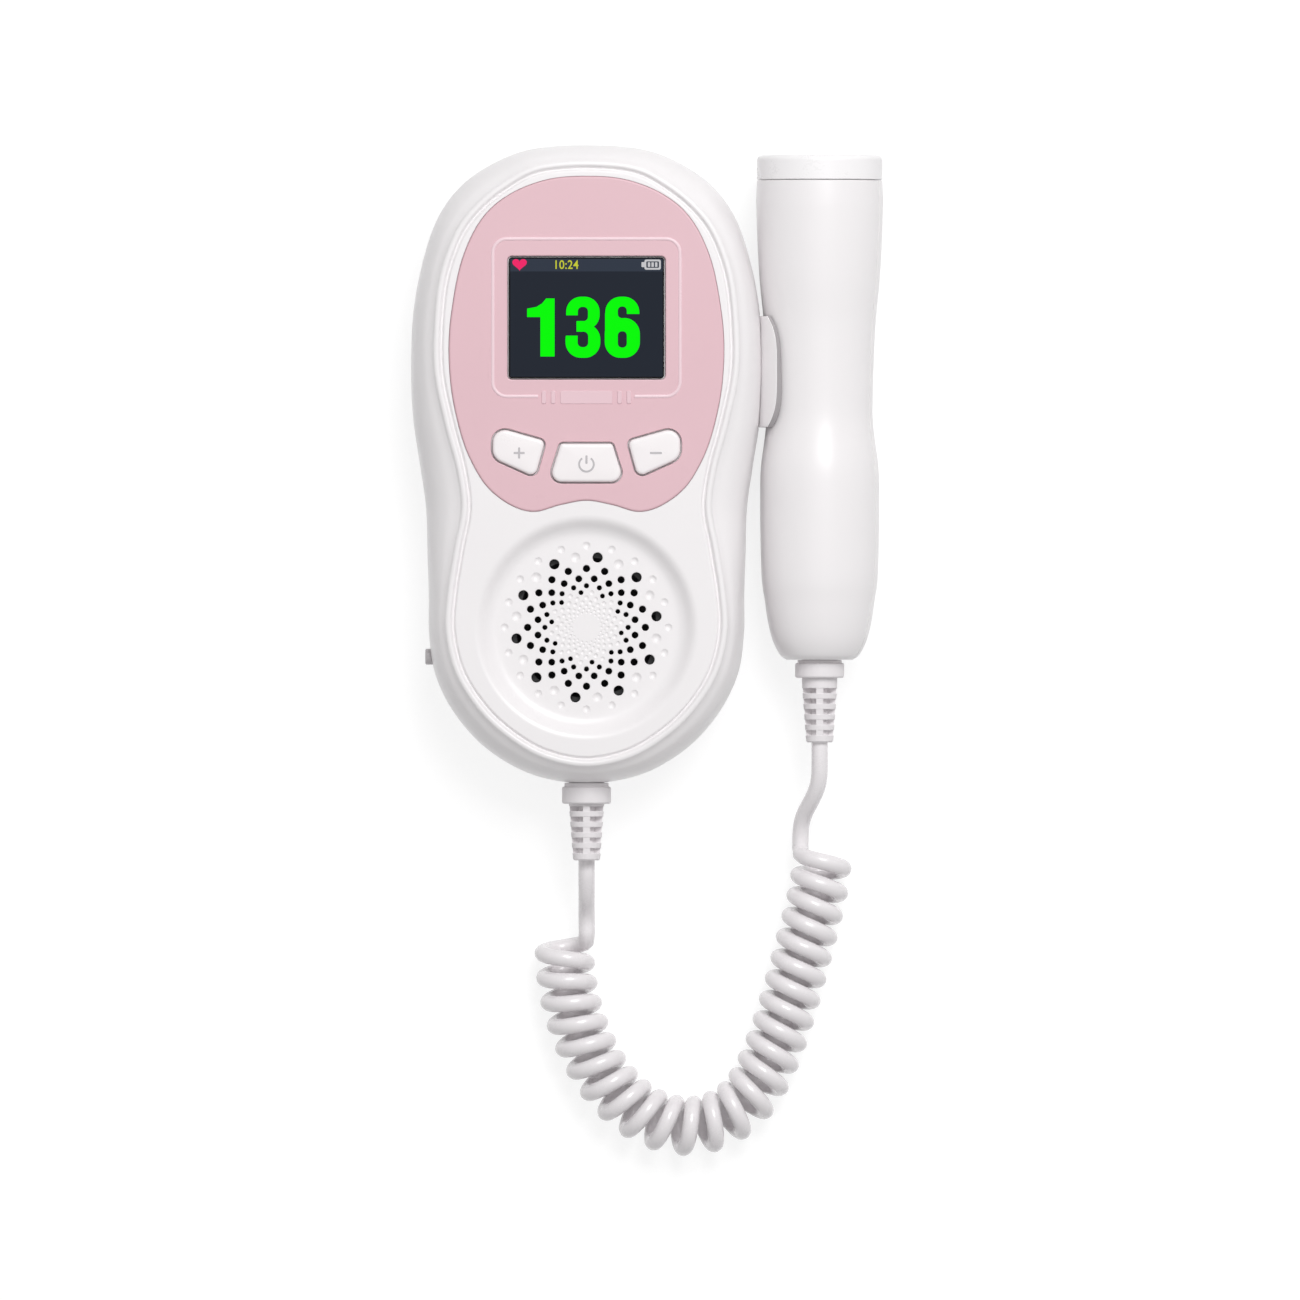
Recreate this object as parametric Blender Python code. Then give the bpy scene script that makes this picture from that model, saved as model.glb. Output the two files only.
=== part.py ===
# Hand-held fetal doppler with its probe and curly cord, lying on its back.
# Metres, +Z up. The origin is the middle of the casing's rear face, +Y is the display end
# and +X is the side that carries the probe.
import math

import bmesh
import bpy
import numpy as np
from mathutils import Vector

mm = 0.001

# Clearances
fit = 0.3 * mm
overrun = 2.0 * mm
parting_gap = 0.3 * mm

# Casing
unit_length = 144.7 * mm
unit_width = 79.4 * mm
rear_depth = 14.0 * mm
front_depth = 16.3 * mm
shell_wall = 2.4 * mm
face_wall = 2.4 * mm
rear_edge_inset = 10.5 * mm
front_inner_inset = 0.4 * mm

# Ridge and groove on the front
ridge_width = 1.8 * mm
ridge_crest = 0.8 * mm
groove_width = 0.7 * mm
groove_depth = 0.7 * mm
ridge_height = 0.2 * mm
ridge_foot_drop = 0.55 * mm

# Face panel
panel_width = 61.7 * mm
panel_recess = 1.0 * mm
panel_proud = 0.2 * mm

# Display
screen_width = 35.04 * mm
screen_height = 27.25 * mm
screen_middle_y = 32.64 * mm
screen_corner = 0.7 * mm
lens_ledge = 1.2 * mm
lens_thickness = 0.7 * mm
lcd_border = 2.4 * mm
lcd_thickness = 4.0 * mm
lcd_frame_wall = 1.4 * mm

# Keys
side_key_width = 11.9 * mm
side_key_height = 11.6 * mm
side_key_x = 15.25 * mm
side_key_y = 2.4 * mm
power_key_width = 17.2 * mm
power_key_height = 8.7 * mm
power_key_y = -0.1 * mm
key_gap = 0.35 * mm
key_proud = 1.1 * mm
key_travel = 0.8 * mm
key_flange = 1.1 * mm
key_flange_thickness = 1.0 * mm
key_top_round = 0.4 * mm

# Speaker dish and its holes
dish_y = -37.3 * mm
dish_radius = 24.4 * mm
dish_floor_radius = 21.4 * mm
dish_depth = 2.5 * mm
dish_floor_wall = 1.6 * mm
grille_pitches = 20

# Loudspeaker
speaker_radius = 19.6 * mm
speaker_rim = 3.6 * mm
speaker_rim_thickness = 1.0 * mm
speaker_depth = 6.8 * mm
speaker_sheet = 0.9 * mm
cone_sheet = 0.5 * mm
voice_radius = 6.0 * mm
magnet_radius = 11.0 * mm
magnet_height = 4.6 * mm
gasket_width = 2.6 * mm
gasket_thickness = 0.6 * mm

# Circuit board and switches
board_thickness = 1.6 * mm
board_width = 44.0 * mm
board_top_y = 56.0 * mm
board_bottom_y = -11.5 * mm
board_height = 20.6 * mm
switch_side = 6.0 * mm

# Battery bay, cells and door
cell_diameter = 14.5 * mm
cell_length = 50.5 * mm
cell_nub_length = 1.2 * mm
cell_nub_radius = 2.7 * mm
cell_spacing = 0.4 * mm
cell_start_y = 4.4 * mm
bay_side_clearance = 0.65 * mm
bay_wall = 2.8 * mm
bay_ceiling = 1.2 * mm
contact_thickness = 0.4 * mm
contact_width = 11.0 * mm
contact_height = 11.0 * mm
contact_spring = 1.2 * mm
partition_thickness = 1.2 * mm
partition_foot = 3.6 * mm
door_thickness = 1.8 * mm
door_recess = 0.3 * mm
door_hinge_gap = 1.0 * mm
hook_width = 5.0 * mm
hook_reach = 2.0 * mm
hook_leg = 1.6 * mm
hook_wall = 1.4 * mm
hook_thickness = 1.2 * mm
hook_x = 10.0 * mm
door_ledge = 1.7 * mm
door_foot_ledge = 1.0 * mm
door_edge_gap = 0.6 * mm
grip_groove_length = 14.0 * mm
grip_groove_width = 1.0 * mm
grip_groove_depth = 0.5 * mm
grip_groove_pitch = 2.4 * mm
grip_groove_count = 4

# Casing screws
screw_places = ((26.0 * mm, 48.0 * mm), (24.5 * mm, -50.0 * mm))
boss_radius = 3.2 * mm
screw_radius = 1.25 * mm
rear_boss_foot_share = 0.92  # of shell_wall
screw_head_radius = 2.4 * mm
screw_head_height = 1.8 * mm
screw_reach = 7.0 * mm
screw_recess = 5.0 * mm

# Headphone jack
jack_y = -43.9 * mm
jack_collar_radius = 1.8 * mm
jack_bore_radius = 1.25 * mm
jack_bore_depth = 11.0 * mm
jack_body_radius = 2.5 * mm
jack_body_length = 10.0 * mm
jack_proud = 1.3 * mm
jack_shoulder_gap = 1.5 * mm

# Probe. It stands clear of the casing's side by probe_offset, less its own radius.
probe_offset = 13.04 * mm
probe_height = 16.0 * mm
probe_top_y = 69.5 * mm
probe_length = 114.1 * mm
probe_radius = 14.4 * mm
probe_wall = 2.0 * mm
probe_cap_length = 5.6 * mm
cap_radius = 14.2 * mm
cap_face_radius = 12.6 * mm
cap_wall = 2.2 * mm
cap_spigot_length = 3.6 * mm
cap_spigot_wall = 1.7 * mm
probe_seam_angle = math.radians(20)
crystal_radius = 8.6 * mm
crystal_thickness = 1.2 * mm
crystal_gap = 0.6 * mm
backing_thickness = 4.6 * mm
probe_board_width = 16.0 * mm
probe_board_foot_gap = 16.0 * mm
probe_board_thickness = 1.6 * mm

# Probe holder
holder_bottom_y = 8.0 * mm
holder_length = 25.1 * mm
holder_wall = 1.8 * mm
holder_front_angle = math.radians(134)
holder_rear_angle = math.radians(310)
holder_corner_angle = math.radians(14)
holder_tab_width = 6.0 * mm
holder_tab_thickness = 2.0 * mm
holder_tab_spread = 8.0 * mm
holder_tab_height = 9.6 * mm
holder_tab_depth = 5.5 * mm
holder_catch = 0.9 * mm

# Strain reliefs and cord
cord_diameter = 3.7 * mm
relief_height = rear_depth
relief_flange_radius = 5.4 * mm
relief_flange_thickness = 1.4 * mm
relief_flange_gap = 1.8 * mm
relief_neck_radius = 4.0 * mm
relief_collar_radius = 5.55 * mm
relief_slot_count = 5
relief_slot_pitch = 2.38 * mm
relief_slot_height = 1.1 * mm
relief_first_slot = 0.35 * mm
relief_core_radius = 2.3 * mm
relief_rib_width = 1.6 * mm
relief_sleeve_length = 12.6 * mm
relief_sleeve_radius = 4.0 * mm
relief_tip_radius = 3.05 * mm
unit_relief_gap = 0.4 * mm
unit_collar_length = 3.9 * mm
unit_relief_neck = 0.2 * mm
probe_relief_gap = 0.7 * mm
probe_collar_length = 3.4 * mm
probe_relief_neck = 2.0 * mm
curl_outer_diameter = 13.7 * mm
curl_count = 25
curl_points = 8
curl_straight = 1.5 * mm
curl_ease = 3.0 * mm
curl_spread = 0.4
coil_lift = 0.15 * mm

# Where the curls' middle line runs, and the two leads, seen from above or in three directions
coil_route = [
    (-4.95 * mm, -105.5 * mm),
    (-4.9 * mm, -113.5 * mm),
    (-2.6 * mm, -125.5 * mm),
    (3.2 * mm, -138.0 * mm),
    (12.0 * mm, -146.9 * mm),
    (23.5 * mm, -150.2 * mm),
    (34.6 * mm, -145.7 * mm),
    (41.6 * mm, -134.5 * mm),
    (46.3 * mm, -120.5 * mm),
    (50.2 * mm, -106.0 * mm),
    (52.9 * mm, -94.0 * mm),
    (53.4 * mm, -86.0 * mm),
]
unit_lead_route = [
    (0.0, -90.5 * mm, 14.0 * mm),
    (0.0, -94.0 * mm, 13.6 * mm),
    (0.0, -98.0 * mm, 11.3 * mm),
    (0.0, -101.8 * mm, 8.0 * mm),
    (0.02 * mm, -105.2 * mm, 7.0 * mm),
]
probe_lead_route = [
    (52.74 * mm, -63.9 * mm, 16.0 * mm),
    (52.74 * mm, -68.0 * mm, 15.8 * mm),
    (52.4 * mm, -72.6 * mm, 14.6 * mm),
    (50.6 * mm, -77.0 * mm, 11.6 * mm),
    (48.7 * mm, -81.6 * mm, 8.0 * mm),
    (48.42 * mm, -85.7 * mm, 7.0 * mm),
]

# Right half of the casing's outline and of its groove line, top to bottom, as shares of
# half the width and half the length. The two lists run side by side.
casing_outline_shares = [
    (0.0, 0.995),
    (0.307, 0.983),
    (0.52, 0.941),
    (0.708, 0.871),
    (0.844, 0.771),
    (0.932, 0.633),
    (0.987, 0.47),
    (1.0, 0.29),
    (0.987, 0.133),
    (0.947, -0.014),
    (0.914, -0.145),
    (0.907, -0.276),
    (0.899, -0.415),
    (0.897, -0.539),
    (0.861, -0.666),
    (0.746, -0.791),
    (0.559, -0.901),
    (0.302, -0.979),
    (0.0, -1.005),
]
groove_outline_shares = [
    (0.0, 0.922),
    (0.27, 0.908),
    (0.45, 0.858),
    (0.602, 0.79),
    (0.71, 0.71),
    (0.79, 0.59),
    (0.823, 0.455),
    (0.826, 0.29),
    (0.77, 0.133),
    (0.697, -0.02),
    (0.67, -0.145),
    (0.71, -0.27),
    (0.75, -0.41),
    (0.76, -0.53),
    (0.705, -0.655),
    (0.577, -0.765),
    (0.42, -0.845),
    (0.23, -0.905),
    (0.0, -0.93),
]
# Right half of the panel's outline, as shares of half the panel's width and half the casing's length
panel_outline_shares = [
    (0.0, 0.892),
    (0.29, 0.881),
    (0.565, 0.834),
    (0.765, 0.757),
    (0.904, 0.633),
    (0.978, 0.477),
    (1.0, 0.352),
    (0.979, 0.221),
    (0.917, 0.097),
    (0.84, 0.008),
    (0.72, -0.075),
    (0.551, -0.131),
    (0.382, -0.151),
    (0.194, -0.13),
    (0.0, -0.116),
]
# From the casing's outline to the ridge's foot, and up the front's depth
front_slope_shares = [(0.0, 0.0), (0.02, 0.22), (0.1, 0.46), (0.3, 0.68), (0.58, 0.85), (0.86, 0.945)]
front_hollow_shares = [(0.0, -0.1), (0.08, 0.36), (0.38, 0.62)]
# Inward by the rear edge's inset, and up the rear's depth
rear_edge_shares = [(0.0, 1.0), (0.04, 0.64), (0.19, 0.36), (0.44, 0.157), (0.72, 0.05), (1.0, 0.0)]
rear_hollow_shares = [(0.0, 1.1), (0.04, 0.64), (0.21, 0.36)]
rear_hollow_floor_share = 0.63
# Corners as shares of a key's half width and half height, with the corner radius as a share of its height
side_key_shares = [(-1.0, 1.0, 0.24), (1.0, 0.42, 0.11), (0.62, -1.0, 0.14), (-1.0, -0.25, 0.26)]
power_key_shares = [(-0.68, 1.0, 0.1), (0.68, 1.0, 0.1), (1.0, -1.0, 0.25), (-1.0, -1.0, 0.25)]
# Down the dish's depth, and out from its floor to its rim
dish_slope_shares = [(1.0, -0.1), (0.96, 0.1), (0.5, 0.55), (0.12, 0.92), (0.0, 1.0)]
# Rows of holes: the row's radius and the hole's radius as shares of the dish floor's radius, how many holes,
# and where the first lies in pitches from the top
grille_row_shares = [
    (0.748, 0.0528, 10, 0.5),
    (0.6215, 0.0374, 20, 0.0),
    (0.5187, 0.035, 20, 0.5),
    (0.4393, 0.0264, 20, 0.0),
    (0.3715, 0.0246, 10, 1.5),
]
# Along the probe from its face to its foot, and out from its middle, cap left out
probe_profile_shares = [
    (0.0894, 1.0),
    (0.168, 0.979),
    (0.247, 0.944),
    (0.327, 0.882),
    (0.406, 0.851),
    (0.485, 0.833),
    (0.525, 0.836),
    (0.564, 0.868),
    (0.622, 0.927),
    (0.684, 0.936),
    (0.7625, 0.931),
    (0.842, 0.91),
    (0.882, 0.865),
    (0.921, 0.819),
    (0.9606, 0.743),
    (0.99, 0.625),
    (1.0, 0.521),
]

# Places along the holder's length, closer where its tips are rounded
holder_station_shares = [0.0, 0.07, 0.25, 0.5, 0.75, 0.93, 1.0]

# The rounded edge's middle, as a share of a straight bevel's
cap_round_share = 0.7

# The sprung cone's radius as a share of its contact's width
contact_cone_share = 0.4

# Where along the holder the band touches the probe's own radius
holder_rest_share = 0.25

sharp_angle = math.radians(35)
outline_steps = 2
holder_steps = 14
round_sides = 24
cell_sides = 20
jack_sides = 16
boss_sides = 12
screw_sides = 10
seat_sides = 16
crystal_steps = 12
dish_sides = 32
relief_sides = 12
hole_sides = 6
corner_steps = 4

half_width = unit_width / 2
half_length = unit_length / 2
half_panel = panel_width / 2
probe_x = half_width + probe_offset
face_z = rear_depth + front_depth
face_inside_z = face_z - face_wall
panel_foot_z = face_z - panel_recess + fit
panel_top_z = face_z + panel_proud
board_top_z = board_height + board_thickness
case_foot_y = casing_outline_shares[-1][1] * half_length
probe_foot_y = probe_top_y - probe_length
cap_seam_y = probe_top_y - probe_cap_length


def clear_scene():
    for item in list(bpy.data.objects):
        bpy.data.objects.remove(item, do_unlink=True)


def material(name, color, roughness=0.45, metallic=0.0):
    made = bpy.data.materials.get(name)
    if made:
        return made
    made = bpy.data.materials.new(name)
    made.use_nodes = True
    made.diffuse_color = (*color, 1.0)
    shader = made.node_tree.nodes["Principled BSDF"]
    shader.inputs["Base Color"].default_value = (*color, 1.0)
    shader.inputs["Roughness"].default_value = roughness
    shader.inputs["Metallic"].default_value = metallic
    return made


def white_plastic():
    return material("white_plastic", (0.86, 0.86, 0.85), 0.35)


def pink_plastic():
    return material("pink_plastic", (0.77, 0.52, 0.58), 0.4)


def screen_glass():
    return material("screen_glass", (0.02, 0.023, 0.04), 0.08)


def steel():
    return material("steel", (0.6, 0.6, 0.6), 0.3, 1.0)


def board_green():
    return material("board_green", (0.03, 0.2, 0.09), 0.5)


def dark_plastic():
    return material("dark_plastic", (0.03, 0.03, 0.035), 0.5)


def soft_white():
    return material("soft_white", (0.83, 0.82, 0.82), 0.5)


# Outlines

def smooth_closed(points, steps):
    # A closed Catmull-Rom curve through the points, with steps points a stretch
    points = np.array(points)
    out = []
    for i in range(len(points)):
        p0, p1, p2, p3 = (points[(i + k) % len(points)] for k in (-1, 0, 1, 2))
        for t in np.arange(steps) / steps:
            bend = 2 * p0 - 5 * p1 + 4 * p2 - p3
            twist = 3 * p1 - 3 * p2 + p3 - p0
            out.append((2 * p1 + (p2 - p0) * t + bend * t ** 2 + twist * t ** 3) / 2)
    return np.array(out)


def smooth_open(points, along, ends=None):
    # A cubic spline through the points by distance, read at the shares in along.
    # ends holds the directions in which it starts and finishes.
    points = np.array(points)
    knots = np.r_[0, np.cumsum(np.linalg.norm(np.diff(points, axis=0), axis=1))]
    gaps = np.diff(knots)
    count = len(points)
    system = np.zeros((count, count))
    wanted = np.zeros(points.shape)
    for i in range(1, count - 1):
        before, after = gaps[i - 1], gaps[i]
        system[i, i - 1:i + 2] = (after, 2 * (before + after), before)
        slope_before = (points[i] - points[i - 1]) / before
        slope_after = (points[i + 1] - points[i]) / after
        wanted[i] = 3 * (slope_before * after + slope_after * before)
    system[0, 0] = system[-1, -1] = 1
    wanted[0], wanted[-1] = (np.array(end) for end in ends)
    slopes = np.linalg.solve(system, wanted)
    out = []
    for place in np.array(along) * knots[-1]:
        i = min(int(np.searchsorted(knots, place, side="right")) - 1, count - 2)
        h = gaps[i]
        t = (place - knots[i]) / h
        out.append(
            (2 * t ** 3 - 3 * t ** 2 + 1) * points[i]
            + (t ** 3 - 2 * t ** 2 + t) * h * slopes[i]
            + (3 * t ** 2 - 2 * t ** 3) * points[i + 1]
            + (t ** 3 - t ** 2) * h * slopes[i + 1]
        )
    return np.array(out)


def mirrored(shares, across, along):
    right = [(x * across, y * along) for x, y in shares]
    left = [(-x, y) for x, y in right[-2:0:-1]]
    return right + left


def offset(outline, inward):
    # Moves a closed clockwise outline inward
    before = np.roll(outline, 1, axis=0)
    after = np.roll(outline, -1, axis=0)
    edge_in = outline - before
    edge_out = after - outline
    normals = []
    for a, b in zip(edge_in, edge_out):
        na = np.array((a[1], -a[0])) / np.linalg.norm(a)
        nb = np.array((b[1], -b[0])) / np.linalg.norm(b)
        n = (na + nb) / np.linalg.norm(na + nb)
        normals.append(n / max(n @ na, 0.5))
    return outline + inward * np.array(normals)


def rounded(corners, radii, steps=corner_steps):
    # A closed polygon with its corners rounded by arcs
    corners = [np.array(c) for c in corners]
    out = []
    for i, corner in enumerate(corners):
        to_before = corners[i - 1] - corner
        to_after = corners[(i + 1) % len(corners)] - corner
        to_before = to_before / np.linalg.norm(to_before)
        to_after = to_after / np.linalg.norm(to_after)
        half = math.acos(max(-1, min(1, to_before @ to_after))) / 2
        reach = radii[i] / math.tan(half)
        middle = corner + (to_before + to_after) / np.linalg.norm(to_before + to_after) * radii[i] / math.sin(half)
        first = corner + to_before * reach - middle
        last = corner + to_after * reach - middle
        sweep = math.atan2(first[0] * last[1] - first[1] * last[0], first @ last)
        for k in range(steps + 1):
            a = sweep * k / steps
            turned_point = (
                first[0] * math.cos(a) - first[1] * math.sin(a),
                first[0] * math.sin(a) + first[1] * math.cos(a),
            )
            out.append(middle + np.array(turned_point))
    return np.array(out)


def rectangle(width, height, middle_y, radius):
    x, y = width / 2, height / 2
    corners = [(-x, middle_y + y), (x, middle_y + y), (x, middle_y - y), (-x, middle_y - y)]
    return rounded(corners, [radius] * 4)


def key_outline(shares, width, height, middle_x, middle_y, side=1):
    corners = [(side * (middle_x + x * width / 2), middle_y + y * height / 2) for x, y, r in shares]
    radii = [r * height for x, y, r in shares]
    if side < 0:
        corners.reverse()
        radii.reverse()
    return rounded(corners, radii)


def casing_outline(steps=outline_steps):
    return smooth_closed(mirrored(casing_outline_shares, half_width, half_length), steps)


def groove_outline(steps=outline_steps):
    return smooth_closed(mirrored(groove_outline_shares, half_width, half_length), steps)


def panel_outline():
    return smooth_closed(mirrored(panel_outline_shares, half_panel, half_length), outline_steps)


def plus_outline():
    return key_outline(side_key_shares, side_key_width, side_key_height, -side_key_x, side_key_y)


def minus_outline():
    return key_outline(side_key_shares, side_key_width, side_key_height, -side_key_x, side_key_y, -1)


def power_outline():
    return key_outline(power_key_shares, power_key_width, power_key_height, 0.0, power_key_y)


# Solids, each added to a bmesh

def loft(bm, rings):
    # Rings of as many points each, joined by quads and closed at both ends
    loops = [[bm.verts.new(point) for point in ring] for ring in rings]
    for lower, upper in zip(loops, loops[1:]):
        for i in range(len(lower)):
            j = (i + 1) % len(lower)
            bm.faces.new((lower[i], lower[j], upper[j], upper[i]))
    bm.faces.new(loops[0])
    bm.faces.new(loops[-1])


def at_height(outline, z):
    return [(x, y, z) for x, y in outline]


def prism(bm, outline, low, high):
    loft(bm, [at_height(outline, low), at_height(outline, high)])


def block(bm, low, high):
    corners = [(low[0], low[1]), (low[0], high[1]), (high[0], high[1]), (high[0], low[1])]
    prism(bm, corners, low[2], high[2])


def turned(bm, profile, centre, axis, sides=round_sides, closed=False, first_angle=0.0):
    # Turns a profile of (along, radius) about a line through centre
    loops = []
    for along, radius in profile:
        ring = []
        for k in range(sides if radius > 0 else 1):
            angle = first_angle + 2 * math.pi * k / sides
            a, b = radius * math.cos(angle), radius * math.sin(angle)
            place = {"X": (along, a, b), "Y": (a, along, b), "Z": (a, b, along)}[axis]
            ring.append(bm.verts.new(Vector(centre) + Vector(place)))
        loops.append(ring)
    pairs = list(zip(loops, loops[1:]))
    if closed:
        pairs.append((loops[-1], loops[0]))
    for lower, upper in pairs:
        for k in range(sides):
            j = (k + 1) % sides
            corners = [lower[k % len(lower)], lower[j % len(lower)], upper[j % len(upper)], upper[k % len(upper)]]
            corners = [c for n, c in enumerate(corners) if c not in corners[:n]]
            if len(corners) > 2:
                bm.faces.new(corners)
    if not closed:
        for ring in (loops[0], loops[-1]):
            if len(ring) > 2:
                bm.faces.new(ring)


def cylinder(bm, low, high, radius, centre, axis, sides=round_sides):
    turned(bm, [(low, radius), (high, radius)], centre, axis, sides)


def solid(name, shape, look=None, origin=(0, 0, 0)):
    # Makes an object from a function that fills a bmesh
    bm = bmesh.new()
    shape(bm)
    bmesh.ops.recalc_face_normals(bm, faces=bm.faces[:])
    bmesh.ops.translate(bm, verts=bm.verts[:], vec=-Vector(origin))
    mesh = bpy.data.meshes.new(name)
    bm.to_mesh(mesh)
    bm.free()
    made = bpy.data.objects.new(name, mesh)
    made.location = origin
    bpy.context.scene.collection.objects.link(made)
    if look:
        mesh.materials.append(look)
        smooth(made)
    return made


def smooth(item):
    item.data.shade_smooth()
    item.data.set_sharp_from_angle(angle=sharp_angle)


def combine(target, shape, operation):
    # Adds or takes away a shape with a Boolean modifier, and applies it
    tool = solid("tool", shape)
    cut = target.modifiers.new("combine", "BOOLEAN")
    cut.operation = operation
    cut.object = tool
    bpy.context.view_layer.update()
    result = bpy.data.meshes.new_from_object(target.evaluated_get(bpy.context.evaluated_depsgraph_get()))
    result.name = target.name
    target.modifiers.clear()
    target.data = result
    bpy.data.objects.remove(tool, do_unlink=True)
    smooth(target)


def add(target, shape):
    combine(target, shape, "UNION")


def take(target, shape):
    combine(target, shape, "DIFFERENCE")


def between(a, b, share):
    return a * (1 - share) + b * share


# Casing

def ridge_foot(steps=outline_steps):
    return offset(groove_outline(steps), -ridge_width)


def front_outside(bm):
    outer, foot, groove = casing_outline(), ridge_foot(), groove_outline()
    low = rear_depth + parting_gap / 2
    depth = face_z - ridge_foot_drop - low
    rings = [at_height(between(outer, foot, mix), low + up * depth) for mix, up in front_slope_shares]
    rings.append(at_height(foot, face_z - ridge_foot_drop))
    rings.append(at_height(offset(groove, -ridge_crest), face_z + ridge_height))
    rings.append(at_height(offset(groove, -ridge_crest / 2), face_z + ridge_height / 2))
    rings.append(at_height(groove, face_z - groove_depth))
    rings.append(at_height(offset(groove, groove_width / 2), face_z - groove_depth / 2))
    rings.append(at_height(offset(groove, groove_width), face_z))
    loft(bm, rings)


def front_hollow(bm):
    outer, foot = casing_outline(1), ridge_foot(1)
    rings = []
    for mix, up in front_hollow_shares:
        ring = offset(between(outer, foot, mix), shell_wall)
        rings.append(at_height(ring, rear_depth + up * front_depth))
    rings.append(at_height(offset(foot, shell_wall + front_inner_inset), face_inside_z))
    loft(bm, rings)


def rear_outside(bm):
    outer = casing_outline()
    high = rear_depth - parting_gap / 2
    loft(bm, [at_height(offset(outer, edge * rear_edge_inset), up * high) for edge, up in rear_edge_shares])


def rear_hollow(bm):
    outer = casing_outline(1)
    rings = []
    for edge, up in rear_hollow_shares:
        ring = offset(outer, shell_wall + edge * rear_edge_inset)
        rings.append(at_height(ring, up * rear_depth))
    floor = offset(outer, shell_wall + rear_hollow_floor_share * rear_edge_inset)
    rings.append(at_height(floor, shell_wall))
    loft(bm, rings)


def each_screw():
    for x, y in screw_places:
        for side in (-1, 1):
            yield side * x, y


def front_posts(bm):
    for x, y in each_screw():
        cylinder(bm, rear_depth + parting_gap / 2, face_inside_z + face_wall / 4, boss_radius, (x, y, 0), "Z", boss_sides)


def rear_bosses(bm):
    # they start just inside the floor, so none shows through the rounded lower edge
    low = shell_wall * rear_boss_foot_share
    for x, y in each_screw():
        cylinder(bm, low, rear_depth - parting_gap / 2, boss_radius, (x, y, 0), "Z", boss_sides)


def post_bores(bm):
    for x, y in each_screw():
        high = rear_depth + screw_reach + fit
        cylinder(bm, rear_depth - overrun, high, screw_radius + fit, (x, y, 0), "Z", screw_sides)


def boss_bores(bm):
    shoulder = screw_recess + screw_head_height + fit
    for x, y in each_screw():
        profile = [
            (-overrun, screw_head_radius + fit),
            (shoulder, screw_head_radius + fit),
            (shoulder, screw_radius + fit),
            (rear_depth + overrun, screw_radius + fit),
        ]
        turned(bm, profile, (x, y, 0), "Z", screw_sides)


def make_screws():
    head = screw_recess
    profile = [
        (head, screw_head_radius),
        (head + screw_head_height, screw_head_radius),
        (head + screw_head_height, screw_radius),
        (rear_depth + screw_reach, screw_radius),
    ]
    for number, (x, y) in enumerate(each_screw(), 1):
        solid("housing_screw_%d" % number, lambda bm: turned(bm, profile, (x, y, 0), "Z", screw_sides), steel())


def dish_cup(bm):
    # The grille's cup, embedded in the face
    low = face_z - dish_depth - dish_floor_wall
    rim = dish_radius + dish_floor_wall
    profile = [
        (low, dish_floor_radius + dish_floor_wall),
        (low + dish_floor_wall, rim),
        (face_inside_z + face_wall / 4, rim),
    ]
    turned(bm, profile, (0, dish_y, 0), "Z", dish_sides)


def dish_bowl(bm):
    slope = dish_radius - dish_floor_radius
    profile = [(face_z - down * dish_depth, dish_floor_radius + out * slope) for down, out in dish_slope_shares]
    profile.append((face_z + overrun, dish_radius))
    turned(bm, profile, (0, dish_y, 0), "Z", dish_sides)


def grille_holes(bm):
    pitch = 2 * math.pi / grille_pitches
    for row_share, hole_share, count, first in grille_row_shares:
        for k in range(count):
            angle = (first + k * grille_pitches / count) * pitch
            row = row_share * dish_floor_radius
            place = (row * math.sin(angle), dish_y + row * math.cos(angle), 0)
            low = face_z - dish_depth - dish_floor_wall - overrun
            cylinder(bm, low, face_z, hole_share * dish_floor_radius, place, "Z", hole_sides)


def key_openings(bm):
    for outline in (plus_outline(), minus_outline(), power_outline()):
        prism(bm, offset(outline, -key_gap), board_height, face_z + overrun)


def screen_opening(bm):
    opening = rectangle(screen_width - 2 * lens_ledge, screen_height - 2 * lens_ledge, screen_middle_y, screen_corner)
    prism(bm, opening, board_height, face_z + overrun)


def panel_recess_cut(bm):
    prism(bm, offset(panel_outline(), -fit), face_z - panel_recess, face_z + overrun)


def holder_seat(bm):
    radius = holder_outer_radius() + fit
    low = holder_bottom_y - fit
    cylinder(bm, low, low + holder_length + 2 * fit, radius, (probe_x, 0, probe_height), "Y", dish_sides)


def jack_seat(bm):
    low = -half_width - overrun
    cylinder(bm, low, low / 2, jack_collar_radius + fit, (0, jack_y, rear_depth), "X", jack_sides)


def relief_seat(bm):
    # The notch that the sleeve's neck passes through
    low = case_foot_y - overrun
    cylinder(bm, low, low + overrun + shell_wall + overrun, relief_neck_radius + fit, (0, 0, relief_height), "Y", seat_sides)


def make_front_shell():
    shell = solid("front_shell", front_outside, white_plastic())
    take(shell, front_hollow)
    add(shell, front_posts)
    add(shell, dish_cup)
    take(shell, post_bores)
    take(shell, dish_bowl)
    take(shell, panel_recess_cut)
    take(shell, screen_opening)
    take(shell, key_openings)
    take(shell, grille_holes)
    take(shell, holder_seat)
    take(shell, jack_seat)
    take(shell, relief_seat)
    return shell


# Battery bay, cells and door

def bay_half_width():
    return cell_diameter + cell_spacing / 2 + bay_side_clearance


def bay_low_y():
    return cell_start_y - fit - contact_thickness - fit


def cell_end_y():
    return cell_start_y + cell_length


def contact_end_y():
    return cell_end_y() + fit + contact_spring + contact_thickness


def hinge_y():
    return contact_end_y() + fit + partition_thickness + fit


def bay_high_y():
    return hinge_y() + hook_reach + 3 * fit


def hook_room_half_width():
    return hook_x + hook_width / 2 + 2 * fit


def cell_low_z():
    return door_recess + door_thickness + fit


def bay_ceiling_z():
    return cell_low_z() + cell_diameter + fit


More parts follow.
